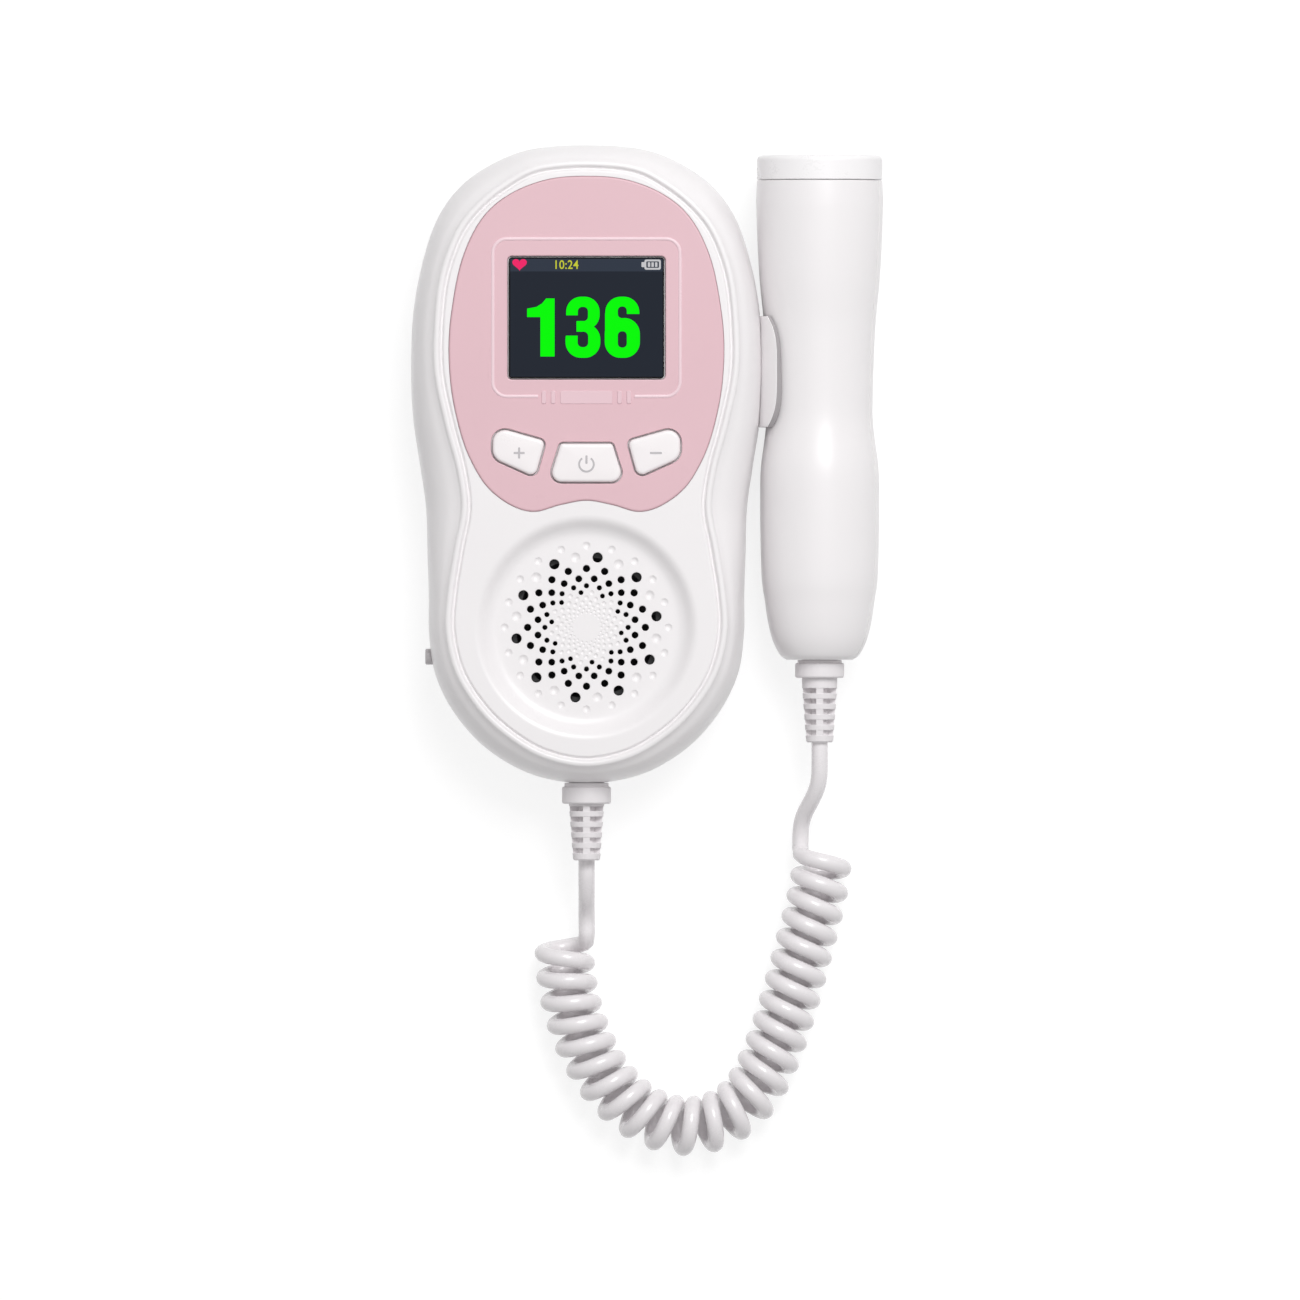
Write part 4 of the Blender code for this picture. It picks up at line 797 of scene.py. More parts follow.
bay = inMm(
    cell=14.5, cellGap=0.4, startY=4.4, cellLength=50.5, sideGap=0.65, wall=2.8, ceiling=1.2, contact=0.4,
    spring=1.2, partition=1.2, partitionFoot=3.6, doorThick=1.8, doorRecess=0.3, doorEdge=0.35,
    doorCorner=1.6, hingeGap=1.0, hookX=10, hookWidth=5, hookReach=2, hookLeg=1.6, hookThick=1.2,
    hookWall=1.4, ledge=1.7, footLedge=1.0, edgeGap=0.6, gripLength=14, gripWidth=1.0, gripCorner=0.48,
    gripDepth=0.5, gripPitch=2.4, gripEdge=0.2,
    # a cell's profile, along from its flat end and out from its axis, and where its band starts and ends
    cellProfile=[(0.25, 4.495), (0.12, 6.235), (0, 6.55), (0.12, 6.97), (0.42, 7.25), (48.6, 7.25),
                 (49.09, 7.005), (49.3, 6.55), (49.1, 6.2), (49.1, 3.2), (49.3, 2.8), (50.2, 2.7),
                 (50.5, 2.35)],
    cellBand=(48.6, 36.3))
bay["grips"] = 4
bay["half"] = bay["cell"] + bay["cellGap"] / 2 + bay["sideGap"]
bay["lowY"] = bay["startY"] - 2 * fit - bay["contact"]
bay["highY"] = bay["startY"] + bay["cellLength"] + bay["spring"] + bay["contact"] + 2 * fit
bay["hingeY"] = bay["highY"] + bay["partition"] + fit
bay["cellLowZ"] = bay["doorRecess"] + bay["doorThick"] + fit
bay["ceilingZ"] = bay["cellLowZ"] + bay["cell"] + fit
bay["hookHalf"] = bay["hookX"] + bay["hookWidth"] / 2 + 2 * fit
bay["hookEndY"] = bay["hingeY"] + bay["hookReach"] + 3 * fit
bay["doorHalf"] = bay["half"] + bay["ledge"] - fit
bay["doorFoot"] = bay["lowY"] - bay["footLedge"]


def makeRearCasing():
    outer, coarse = casingLine("outlineShares"), casingLine("outlineShares", steps=2)
    lip, inset, wall = casing["seamRound"], casing["rearInset"], casing["wall"]
    high = seamZ - casing["seam"] / 2
    rings = []
    for edge, up in smoothRun(casing["rearShares"], steps=4):
        z = min(max(up, 0) * high, high - lip * casing["lipTop"])
        rings.append(level(inward(outer, edge * inset), z))
    rings += [level(inward(outer, a * lip), high - b * lip) for a, b in casing["lipShares"][::-1]]
    shell = ringBody("rearCasing", rings)
    hollow = [level(inward(coarse, wall + edge * inset), up * seamZ)
              for edge, up in casing["rearHollowShares"]]
    hollow.append(level(inward(coarse, wall + casing["rearFloorShare"] * inset), wall))
    cut(shell, ringBody("hollow", hollow))
    side, hookSide, room = bay["half"] + bay["wall"], bay["hookHalf"] + bay["hookWall"], bay["hookHalf"]
    top, doorEnd = bay["ceilingZ"] + bay["ceiling"], bay["hingeY"] + bay["edgeGap"]
    unite(shell, posts(wall * casing["postFootShare"], high, casing["postRadius"]),
          brick("bayWalls", (-side, bay["lowY"] - bay["wall"], wall / 2),
                (side, doorEnd + bay["hookWall"], top)),
          brick("hookWalls", (-hookSide, bay["hingeY"] - bay["hingeGap"], wall / 2),
                (hookSide, bay["hookEndY"] + bay["hookWall"], top)))
    partitionEnd = bay["highY"] + bay["partition"]
    opening = oblong(bay["doorHalf"] + fit, bay["doorFoot"], doorEnd, bay["doorCorner"] + fit)
    head, bore, chamfer = casing["headRadius"] + fit, casing["boreRadius"], casing["boreChamfer"]
    shoulder = casing["headDrop"] + casing["headHeight"] + fit
    profile = [(-past, head + chamfer), (0, head + chamfer), (chamfer, head), (shoulder, head),
               (shoulder, bore), (seamZ + past, bore)]
    bores = [turned("bore", profile, (x, y, None), sides=40) for x, y in casing["screws"]]
    slots = [brick("slot", np.array(low) - (past, fit, fit), np.array(high) + (past, fit, fit))
             for low, high in tabBoxes()]
    cut(shell,
        brick("inside", (-bay["half"], bay["lowY"], wall), (bay["half"], bay["highY"], bay["ceilingZ"])),
        brick("hookRoom", (-room, partitionEnd, wall), (room, bay["hookEndY"], bay["ceilingZ"])),
        brick("underPartition", (-room, bay["highY"] - past, wall / 2),
              (room, partitionEnd + past, bay["cellLowZ"] - fit + bay["partitionFoot"])),
        slab("doorOpening", opening, -past, wall),
        gather(bores), holderRecess(), gather(slots), jackRecess(), sleeveNotch())
    finishPiece(shell, looks["casing"], "white_plastic", "unit", "rear_shell")
    print("rear casing made")


def makeDoor():
    heel = bay["hingeY"] - bay["hingeGap"]
    outline = oblong(bay["doorHalf"], bay["doorFoot"] + fit, heel, bay["doorCorner"])
    low, edge = bay["doorRecess"], bay["doorEdge"]
    door = ringBody("batteryDoor", [
        level(inward(outline, edge), low), level(inward(outline, edge * bevelShare), low + edge * bevelShare),
        level(outline, low + edge), level(outline, low + bay["doorThick"])])
    start, tip, under = heel - bay["hookLeg"], bay["hingeY"] + bay["hookReach"], casing["wall"] + fit
    middle, top = low + bay["doorThick"] / 2, under + bay["hookThick"]
    hook = [(start, middle), (start, top), (tip, top), (tip, under),
            (heel - fit, under), (heel - fit, middle)]
    hooks = []
    for side in (-1, 1):
        x = side * bay["hookX"] - bay["hookWidth"] / 2
        ends = (x, x + bay["hookWidth"])
        hooks.append(ringBody("hook", [[(place, y, z) for y, z in hook] for place in ends]))
    unite(door, gather(hooks))
    grips = []
    for k in range(bay["grips"]):
        y = bay["lowY"] + bay["ledge"] + past + k * bay["gripPitch"]
        grip = oblong(bay["gripLength"] / 2, y, y + bay["gripWidth"], bay["gripCorner"])
        wide = inward(grip, -bay["gripEdge"])
        rings = [level(wide, -past), level(wide, low)]
        rings += [level(grip, low + up) for up in (bay["gripEdge"], bay["gripDepth"])]
        grips.append(ringBody("grip", rings))
    cut(door, gather(grips))
    finishPiece(door, looks["casing"], "white_plastic", "door", "battery_door")
    print("battery door made")


def makeCells():
    # two cells, nub up on the left and nub down on the right
    for up, name in ((1, "Left"), (-1, "Right")):
        base = bay["startY"] + (0 if up > 0 else bay["cellLength"])
        profile = [(base + up * along, radius) for along, radius in bay["cellProfile"]]
        centre = (-up * (bay["cell"] + bay["cellGap"]) / 2, None, bay["cellLowZ"] + bay["cell"] / 2)
        wrap = wrapped("cellWrap" + name, *sorted(base + up * along for along in bay["cellBand"]))
        finishPiece(turned("cell" + name, profile, centre, sides=64), wrap, "cell", "unit",
                    "battery_cell_" + name.lower(), angle=35)
    print("cells made")


screw = inMm(
    # the head's profile, up from its face and out from the axis
    head=[(0.25, 1.32), (0, 1.44), (0.06, 2.04), (0.35, 2.4), (1.8, 2.4), (1.8, 1.25)],
    core=1.025, threadPitch=0.9, threadStart=0.5, tipLength=0.8, tipRadius=0.25,
    blade=0.32, arm=1.488, crossDepth=1.1)


def makeScrews():
    head, tip, pitch = casing["headDrop"], seamZ + casing["screwReach"], screw["threadPitch"]
    profile = [(head + up, radius) for up, radius in screw["head"]]
    neck, tipFoot = profile[-1][0], tip - screw["tipLength"]
    for z in np.arange(neck + screw["threadStart"], tipFoot - pitch, pitch):
        profile += [(z, screw["core"]), (z + pitch / 2, casing["screwRadius"])]
    profile += [(tipFoot, screw["core"]), (tip, screw["tipRadius"])]
    pattern = turned("screw", profile, (0, 0, None))
    blade, arm = screw["blade"], screw["arm"]
    cross = [(-blade, arm), (blade, arm), (blade, blade), (arm, blade), (arm, -blade), (blade, -blade)]
    cross += [(-x, -y) for x, y in cross]
    cut(pattern, slab("cross", cross, head - past, head + screw["crossDepth"]))
    nodes = ["housing_screw_%d" % k for k in range(1, 5)]
    for number, (x, y) in enumerate(casing["screws"], 1):
        copy = nameIt(copyTo(pattern, x, y), "casingScrew%d" % number)
        near = min(nodes, key=lambda node: (middleOf(node).xy - Vector((x, y))).length)
        finishPiece(copy, looks["steel"], "steel", "unit", near, angle=30)
    discard(pattern)
    print("screws made")


# Face panel, with the raised line round the display, and the keys

panel = {
    **inMm(
        halfWidth=30.85, recess=1.0, foot=0.7, proud=0.2, edge=0.5, rim=0.4, lensLedge=1.2, grow=0.25,
        frameHalf=21.15, frameLow=14.9, frameHigh=50.5, frameCorner=3.2, frameWidth=0.8, frameRise=0.22,
        frameBreak=10.9, barLow=13.2, barHigh=16.2, barSink=0.2,
        # middle across, half width, corner, rise and edge of the tab and the bars beside it
        tab=[(0, 5.9, 0.4, 0.14, 0.12), *((x, 0.55, 0.44, 0.24, 0.2) for x in (-9.6, 9.6, -7.5, 7.5))]),
    "shares": [(0.0, 0.892), (0.29, 0.881), (0.565, 0.834), (0.765, 0.757), (0.904, 0.633), (0.978, 0.477),
               (1.0, 0.352), (0.979, 0.221), (0.917, 0.097), (0.84, 0.008), (0.72, -0.075), (0.551, -0.131),
               (0.382, -0.151), (0.194, -0.13), (0.0, -0.116)],
    # across and up, in shares of the line's width and rise
    "bead": [(-0.5, 0), (-0.42, 0.55), (-0.2, 0.93), (0, 1), (0.2, 0.93), (0.42, 0.55), (0.5, 0), (0.4, -1),
             (-0.4, -1)],
    "keyRimShare": 0.6,
}
screen = inMm(halfAcross=17.52, halfUp=13.625, middleY=32.64, corner=0.7, border=0.3, barHeight=3.15,
              edge=0.06, pointPitch=0.219)
keys = {
    **inMm(gap=0.35, flange=1.1, flangeThick=1.0, proud=1.1, round=0.75, crown=0.1),
    "sideShares": [(-1.0, 1.0, 0.24), (1.0, 0.42, 0.11), (0.62, -1.0, 0.14), (-1.0, -0.25, 0.26)],
    "powerShares": [(-0.68, 1.0, 0.1), (0.68, 1.0, 0.1), (1.0, -1.0, 0.25), (-1.0, -1.0, 0.25)],
    # how far out from the middle, and how much of the crown's height
    "crownShares": [(0.85, 0.3), (0.65, 0.68), (0.45, 0.93), (0.34, 1.0)],
    # width, height and middle in millimetres, and side
    "shapes": {"plus": (11.9, 11.6, -15.25, 2.4, 1), "power": (17.2, 8.7, 0.0, -0.1, 0),
               "minus": (11.9, 11.6, -15.25, 2.4, -1)},
}


def panelOutline():
    line = smoothLoop(bothSides(panel["shares"], panel["halfWidth"], halfLength), steps=8)
    return inward(line, -panel["grow"])


def screenOutline(grow=0.0):
    middle, half = screen["middleY"], screen["halfUp"] + grow
    return oblong(screen["halfAcross"] + grow, middle - half, middle + half, screen["corner"] + max(grow, 0))


def keyOutline(name):
    *sizes, side = keys["shapes"][name]
    width, height, x, y = (size * mm for size in sizes)
    shares = keys["sideShares"] if side else keys["powerShares"]
    corners = [((side or 1) * (x + a * width / 2), y + b * height / 2) for a, b, r in shares]
    radii = [r * height for a, b, r in shares]
    if side < 0:
        corners.reverse()
        radii.reverse()
    return rounded(corners, radii, steps=6)


def bead(name, line, width, low, rise):
    # a raised line along an open run of points, round on top
    rings = []
    for i, place in enumerate(line):
        ahead = line[min(i + 1, len(line) - 1)] - line[max(i - 1, 0)]
        side = np.array((ahead[1], -ahead[0])) / np.linalg.norm(ahead)
        rings.append([(*(place + side * a * width), low + b * rise) for a, b in panel["bead"]])
    return ringBody(name, rings)


def makePanel():
    low, top = faceZ - panel["foot"], faceZ + panel["proud"]
    piece = ringBody("facePanel", domed(panelOutline(), low, top, panel["edge"], steps=4))
    holes = [inward(keyOutline(name), -keys["gap"]) for name in keys["shapes"]]
    keyRim = panel["rim"] * panel["keyRimShare"]
    cut(piece, ringBody("window", holeRings(screenOutline(fit), low, top, panel["rim"])),
        gather([ringBody("keyHole", holeRings(hole, low, top, keyRim)) for hole in holes]))
    finishPiece(piece, looks["panel"], "pink_plastic", "unit", "face_panel", angle=40)
    raised = []
    for x, half, corner, rise, edge in panel["tab"]:
        outline = oblong(half, panel["barLow"], panel["barHigh"], corner, steps=5, x=x)
        raised.append(ringBody("raised", domed(outline, top - panel["barSink"], top + rise, edge, steps=4)))
    tab = nameIt(gather(raised), "panelTab")
    finishPiece(tab, looks["tab"], "pink_plastic", "unit", angle=40)
    # the line starts and ends at the break in its lower side
    around = oblong(panel["frameHalf"], panel["frameLow"], panel["frameHigh"], panel["frameCorner"],
                    steps=10)
    left, right = around[around[:, 0] < 0], around[around[:, 0] > 0]
    lower = left[:, 1] <= screen["middleY"]
    ends = [np.array((side * panel["frameBreak"], panel["frameLow"])) for side in (-1, 1)]
    line = [ends[0], *left[lower], *left[~lower], *right, ends[1]]
    # the raised line takes a painted highlight, a lighter pink for the light along its crest
    paintedHighlightTrim = bead("panelTrim", line, panel["frameWidth"], top, panel["frameRise"])
    finishPiece(paintedHighlightTrim, looks["paintedHighlightTrim"], "pink_plastic", "unit", angle=40)
    print("face panel made")


def makeKeys():
    crown, top, flangeTop = keys["crown"], faceZ + keys["proud"], faceZ - casing["wall"] - fit
    for name in keys["shapes"]:
        outline = keyOutline(name)
        centre = (outline.min(axis=0) + outline.max(axis=0)) / 2
        wide, rim = inward(outline, -keys["flange"]), inward(outline, keys["round"])
        rings = [level(wide, flangeTop - keys["flangeThick"]), level(wide, flangeTop)]
        rings += domed(outline, flangeTop, top - crown, keys["round"], steps=6)
        rings += [level(centre + (rim - centre) * out, top - crown * (1 - up))
                  for out, up in keys["crownShares"]]
        finishPiece(ringBody(name + "Key", rings), looks["keys"], "key_plastic", name + "_key",
                    name + "_button", angle=50)
    print("keys made")


signs = {
    **inMm(plusAt=(-15.2, 2.1), plusReach=1.25, minusAt=(15.7, 2.1), minusReach=1.35, stroke=0.24,
           corner=0.144, powerAt=(0.0, -0.45), powerRadius=1.65, arcHalf=0.216, height=0.04, sink=0.3,
           stemFoot=0.1, stemOver=0.15),
    "powerGap": 36, "arcSteps": 40,
}


def makeSigns():
    low, high = faceZ + keys["proud"] - signs["sink"], faceZ + keys["proud"] + signs["height"]
    stroke = signs["stroke"]

    def bar(at, across, up):
        return oblong(across, at[1] - up, at[1] + up, signs["corner"], steps=4, x=at[0])

    def place(name, key, *outlines):
        first, *others = (slab(name, outline, low, high) for outline in outlines)
        finishPiece(nameIt(unite(first, *others), name), looks["ink"], "dark_plastic", key, angle=30)

    reach, middle = signs["plusReach"], signs["plusAt"]
    place("plusSign", "plus_key", bar(middle, reach, stroke), bar(middle, stroke, reach))
    place("minusSign", "minus_key", bar(signs["minusAt"], signs["minusReach"], stroke))
    x, y = signs["powerAt"]
    turn = np.radians(np.linspace(signs["powerGap"], 360 - signs["powerGap"], signs["arcSteps"]))
    outer, inner = signs["powerRadius"] + signs["arcHalf"], signs["powerRadius"] - signs["arcHalf"]
    arc = [(x + outer * math.sin(a), y + outer * math.cos(a)) for a in turn]
    arc += [(x + inner * math.sin(a), y + inner * math.cos(a)) for a in turn[::-1]]
    stem = oblong(stroke, y + signs["stemFoot"], y + outer + signs["stemOver"], signs["corner"],
                  steps=4, x=x)
    place("powerSign", "power_key", arc, stem)
    print("signs made")


# Display: the glass and what is lit on it

lights = {
    **inMm(
        rise=0.03, sink=0.1, digitFoot=23.6, digitHeight=13.8, oneX=-13.4, threeX=-0.8, sixX=8.1,
        one=[(6.2, 13.4), (4.3, 13.4), (3.4, 12.3), (2.1, 11.5), (0.0, 11.1), (0.0, 9.2), (3.0, 9.2),
             (3.0, 0.3), (6.2, 0.3)],
        # half width, low, high and corner of the three's two loops and two openings
        loops=[(3.78, 6.3, 13.8, 3.4), (3.93, 0.0, 7.7, 3.5)],
        openings=[(1.15, 8.3, 11.5, 1.0), (1.2, 2.4, 5.9, 1.05)],
        # right end, low and high of the cuts that open the three
        threeCut=[(1.45, 5.0, 9.6), (0.5, 5.0, 5.9), (0.5, 8.3, 9.6)],
        # the same for the six, its stem's left, right, low and high, and where its arch is cut off
        arch=(3.85, 6.0, 13.8, 3.5), bowl=(3.97, 0.0, 9.0, 3.55),
        sixOpenings=[(1.02, 8.95, 11.6, 0.95), (1.02, 2.3, 6.0, 0.95)],
        stem=(3.9, 1.2, 4.5, 10.0), archEnd=9.9,
        smallBox=(-7.0, -1.8, 43.65, 45.65), heartAt=(-15.1, 44.8), heartWidth=3.3,
        cellBox=(13.1, 16.8, 43.5, 45.8), cellLine=0.42, cellCorner=0.4, roomCorner=0.2, nubOut=0.252,
        nubInset=0.575, nubCorner=0.168, barInset=0.63, barCorner=0.08),
    "small": "10:24", "smallSpacing": 1.05, "smallWeight": 0.01, "smallSteps": 8, "heartSteps": 64,
    # the usual heart curve: half its width, and its height's share of each cosine
    "heartSpan": 16, "heartCurve": (13, -5, -2, -1), "heartHigh": 0.9,
    "cellBars": 3, "barShare": 0.34,
    "green": (14, 246, 14), "yellow": (205, 210, 60), "red": (236, 45, 105), "grey": (205, 205, 208),
    "dimmed": 0.9,
}
litLow, litHigh = faceZ - lights["sink"], faceZ + lights["rise"]


def litSlab(outline, name="lit"):
    return slab(name, outline, litLow, litHigh)


def litCut(outline):
    return slab("cut", outline, litLow - past, litHigh + past)


def finishLit(piece, name, look):
    finishPiece(nameIt(piece, name), look, "screen", "unit", angle=30)


def makeText(name, words, box, look):
    # words set in a plain face, fitted into a box
    bpy.ops.object.text_add()
    piece = bpy.context.object
    piece.data.body = words
    piece.data.offset = lights["smallWeight"]
    piece.data.extrude = 1  # any depth, since the box sets it
    piece.data.resolution_u = lights["smallSteps"]
    piece.data.space_character = lights["smallSpacing"]
    bpy.ops.object.convert(target="MESH")
    piece = bpy.context.object
    closeUp(piece, mm / 10)
    places = np.array([v.co for v in piece.data.vertices])
    low, high = places.min(axis=0), places.max(axis=0)
    wantedLow, wantedHigh = np.array((box[0], box[2], litLow)), np.array((box[1], box[3], litHigh))
    scale = (wantedHigh - wantedLow) / (high - low)
    piece.data.transform(Matrix.Translation(wantedLow - low * scale) @ Matrix.Diagonal((*scale, 1)))
    finishLit(piece, name, look)


def makeDigits(look):
    # a one, a three and a six in heavy narrow strokes
    foot = lights["digitFoot"]

    def loop(x, half, a, b, radius, steps=10):
        return oblong(half, foot + a, foot + b, radius, steps, x)

    def bar(left, right, a, b):
        return [(left, foot + b), (right, foot + b), (right, foot + a), (left, foot + a)]

    outline = [(lights["oneX"] + x, foot + y) for x, y in lights["one"]]
    one = litSlab(outline[::-1])
    x, wide = lights["threeX"], lights["digitHeight"] / 2
    three = unite(*(litSlab(loop(x, *row)) for row in lights["loops"]))
    cut(three, *(litCut(loop(x, *row, steps=6)) for row in lights["openings"]),
        *(litCut(bar(x - wide, x - right, a, b)) for right, a, b in lights["threeCut"]))
    x = lights["sixX"]
    six = cut(litSlab(loop(x, *lights["arch"])), litCut(bar(x, x + wide, 0, lights["archEnd"])))
    left, right, a, b = lights["stem"]
    unite(six, litSlab(loop(x, *lights["bowl"])), litSlab(bar(x - left, x - right, a, b)))
    cut(six, *(litCut(loop(x, *row, steps=6)) for row in lights["sixOpenings"]))
    finishLit(gather([one, three, six]), "pulseNumber", look)


def makeHeart(look):
    x, y = lights["heartAt"]
    across = lights["heartWidth"] / 2
    high = across / lights["heartSpan"] * lights["heartHigh"]
    heart = []
    for a in np.linspace(0, 2 * math.pi, lights["heartSteps"], endpoint=False):
        up = sum(share * math.cos(k * a) for k, share in enumerate(lights["heartCurve"], 1))
        heart.append((x + across * math.sin(a) ** 3, y + high * up))
    finishLit(litSlab(heart), "heartSign", look)


def makeCharge(look):
    # a cell's outline with a nub and bars
    left, right, foot, top = lights["cellBox"]
    line, middle, half = lights["cellLine"], (left + right) / 2, (right - left) / 2
    nubY, edge = lights["nubInset"], lights["barInset"]
    outline = oblong(half, foot, top, lights["cellCorner"], steps=4, x=middle)
    room = oblong(half - line, foot + line, top - line, lights["roomCorner"], steps=4, x=middle)
    nub = oblong(line, foot + nubY, top - nubY, lights["nubCorner"], steps=4, x=left - lights["nubOut"])
    sign = unite(cut(litSlab(outline), litCut(room)), litSlab(nub))
    finishLit(sign, "chargeSign", look)
    pitch = (right - left - 2 * edge) / lights["cellBars"]
    wide, bars = pitch * lights["barShare"], []
    for k in range(lights["cellBars"]):
        bar = oblong(wide, foot + edge, top - edge, lights["barCorner"], steps=3,
                     x=left + edge + (k + 0.5) * pitch)
        bars.append(litSlab(bar))
    finishLit(gather(bars), "chargeBars", look)


def makeDisplay():
    outline, edge = screenOutline(), screen["edge"]
    rings = [level(outline, faceZ - panel["foot"]), level(outline, faceZ - edge),
             level(inward(outline, edge * bevelShare), faceZ - edge * bevelShare),
             level(inward(outline, edge), faceZ)]
    finishPiece(ringBody("displayGlass", rings), displayGlass("displayGlass"), "screen", "unit",
                "display_lens", angle=30)
    makeDigits(lit("litGreen", lights["green"]))
    makeText("clockNumber", lights["small"], lights["smallBox"],
             lit("litYellow", lights["yellow"], lights["dimmed"]))
    makeHeart(lit("litRed", lights["red"]))
    makeCharge(lit("litGrey", lights["grey"], lights["dimmed"]))
    print("display made")


# Headphone jack

jack = inMm(collar=1.8, bore=1.25, boreDepth=11, body=2.5, bodyLength=10, edge=0.25, tip=0.2)
jack["y"] = middleOf("headphone_jack").y


def makeJack():
    (outer, _, _), (end, _, _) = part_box("headphone_jack")
    inner, bottom = end - jack["bodyLength"], outer + jack["boreDepth"]
    collar, body, bore, edge, tip = (jack[size] for size in ("collar", "body", "bore", "edge", "tip"))
    profile = [(outer + edge, collar), (inner, collar), (inner, body), (end, body), (end, bore), (end, tip),
               (bottom, tip), (bottom, bore), (outer + edge, bore), (outer, bore + edge),
               (outer, collar - edge)]
    piece = turned("headphoneJack", profile, (None, jack["y"], seamZ), sides=40, looped=True)
    finishPiece(piece, looks["jack"], "jack_plastic", "unit", "headphone_jack", angle=40)
    print("jack made")


# Probe

probe = {
    **inMm(radius=14.4, wall=2.0, seamReach=12.96, capRadius=14.2, capFace=13.0, seamGap=0.07, capWall=2.2,
           spigot=3.6, spigotWall=1.7, capLength=5.6, edge=0.18, bevel=0.14, crown=0.02, crownFoot=12.48,
           crownTop=11.7),
    "seamAngle": 20, "steps": 64,
    "topY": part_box("probe_face_cap")[1].y, "footY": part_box("probe_front_shell")[0].y,
    # down from the top and out from the axis
    "shares": [(0.0894, 1.0), (0.168, 0.979), (0.247, 0.944), (0.327, 0.882), (0.406, 0.851), (0.485, 0.833),
               (0.525, 0.836), (0.564, 0.868), (0.622, 0.927), (0.684, 0.936), (0.7625, 0.931), (0.842, 0.91),
               (0.882, 0.865), (0.921, 0.819), (0.9606, 0.743), (0.99, 0.625), (1.0, 0.521)],
}
probe["length"] = probe["topY"] - probe["footY"]
probe["seamY"] = probe["topY"] - probe["capLength"]


def probeOutside(steps=1):
    points = [(probe["topY"] - a * probe["length"], r * probe["radius"]) for a, r in probe["shares"]]
    first = (probe["seamY"] - probe["seamGap"], probe["capRadius"])
    return [first] + [tuple(p) for p in smoothRun(points, steps)]


def probeRadiusAt(y):
    points = sorted(probeOutside())
    return float(np.interp(y, [p[0] for p in points], [p[1] for p in points]))


def roundProbe(radius, angle, y):
    return (probeX + radius * math.cos(angle), y, probeZ + radius * math.sin(angle))


def makeHandle():
    # two halves that meet along a seam turned about the probe's axis
    edge, wall, bore = probe["edge"], probe["wall"], relief["neck"] + fit
    (firstY, firstR), *outside = probeOutside(4)
    foot = probe["footY"] + wall
    profile = [(firstY, firstR - edge), (firstY - edge, firstR), *outside]
    profile += [(probe["footY"], bore), (foot, bore)]
    profile += [(y, r - wall) for y, r in probeOutside()[::2][::-1] if y > foot + wall]
    gap = casing["seam"] / 2 / probe["seamReach"]
    halves = (0, "handleFront", "probe_front_shell"), (180, "handleRear", "probe_rear_shell")
    for start, name, node in halves:
        first = math.radians(probe["seamAngle"] + start)
        turn = np.linspace(first + gap, first + math.pi - gap, probe["steps"] + 1)
        half = ringBody(name, [[roundProbe(r, angle, y) for y, r in profile] for angle in turn])
        softenEdges(half, probe["bevel"], angle=60, segments=2)
        finishPiece(half, looks["handle"], "handle_plastic", "probe", node)


def makeCap():
    edge, radius, top, centre = probe["edge"], probe["capRadius"], probe["topY"], (probeX, None, probeZ)
    seam, low = probe["seamY"] + probe["seamGap"], probe["seamY"] - probe["spigot"]
    spigot = probeRadiusAt(low) - probe["wall"] - fit
    inner, drop = spigot - probe["spigotWall"], radius - probe["capFace"]
    profile = [(low, inner), (low, spigot), (seam, spigot), (seam, radius - edge), (seam + edge, radius)]
    profile += [(top - drop * (1 - s), radius - drop * (1 - c)) for s, c in quarter(6)]
    profile += [(top - probe["crown"], probe["crownFoot"]), (top, probe["crownTop"])]
    room = [(low - past, inner), (top - probe["capWall"], inner)]
    cap = turned("probeCap", profile, centre, sides=128)
    cut(cap, turned("room", room, centre, sides=96))
    finishPiece(cap, looks["cap"], "face_plastic", "probe", "probe_face_cap")
    print("probe made")


# Probe holder

holder = {
    **inMm(wall=1.8, skin=0.15, tabWidth=6, tabThick=2, tabSpread=8, tabHeight=9.6, tabDepth=5.5, catch=0.9,
           edge=0.22),
    "front": 134, "rear": 310, "corner": 14, "cornerPower": 4, "restShare": 0.25,
    "arcSteps": 48, "stations": 25,
    # the painted shade's colour, standing for the shade on the holder's end faces and inside
    "paintedShade": (168, 164, 166),
}
restY = holderLow.y + (holderHigh.y - holderLow.y) * holder["restShare"]
holder["outer"] = probeRadiusAt(restY) + fit + holder["wall"]


def tabBoxes():
    middle, half = (holderLow.y + holderHigh.y) / 2, holder["tabWidth"] / 2
    outside = probeX - math.sqrt(holder["outer"] ** 2 - (probeZ - holder["tabHeight"]) ** 2)
    lowZ = holder["tabHeight"] - holder["tabThick"] / 2
    for y in (middle - holder["tabSpread"], middle + holder["tabSpread"]):
        yield ((outside - holder["tabDepth"], y - half, lowZ),
               (outside + holder["wall"] / 2, y + half, lowZ + holder["tabThick"]))


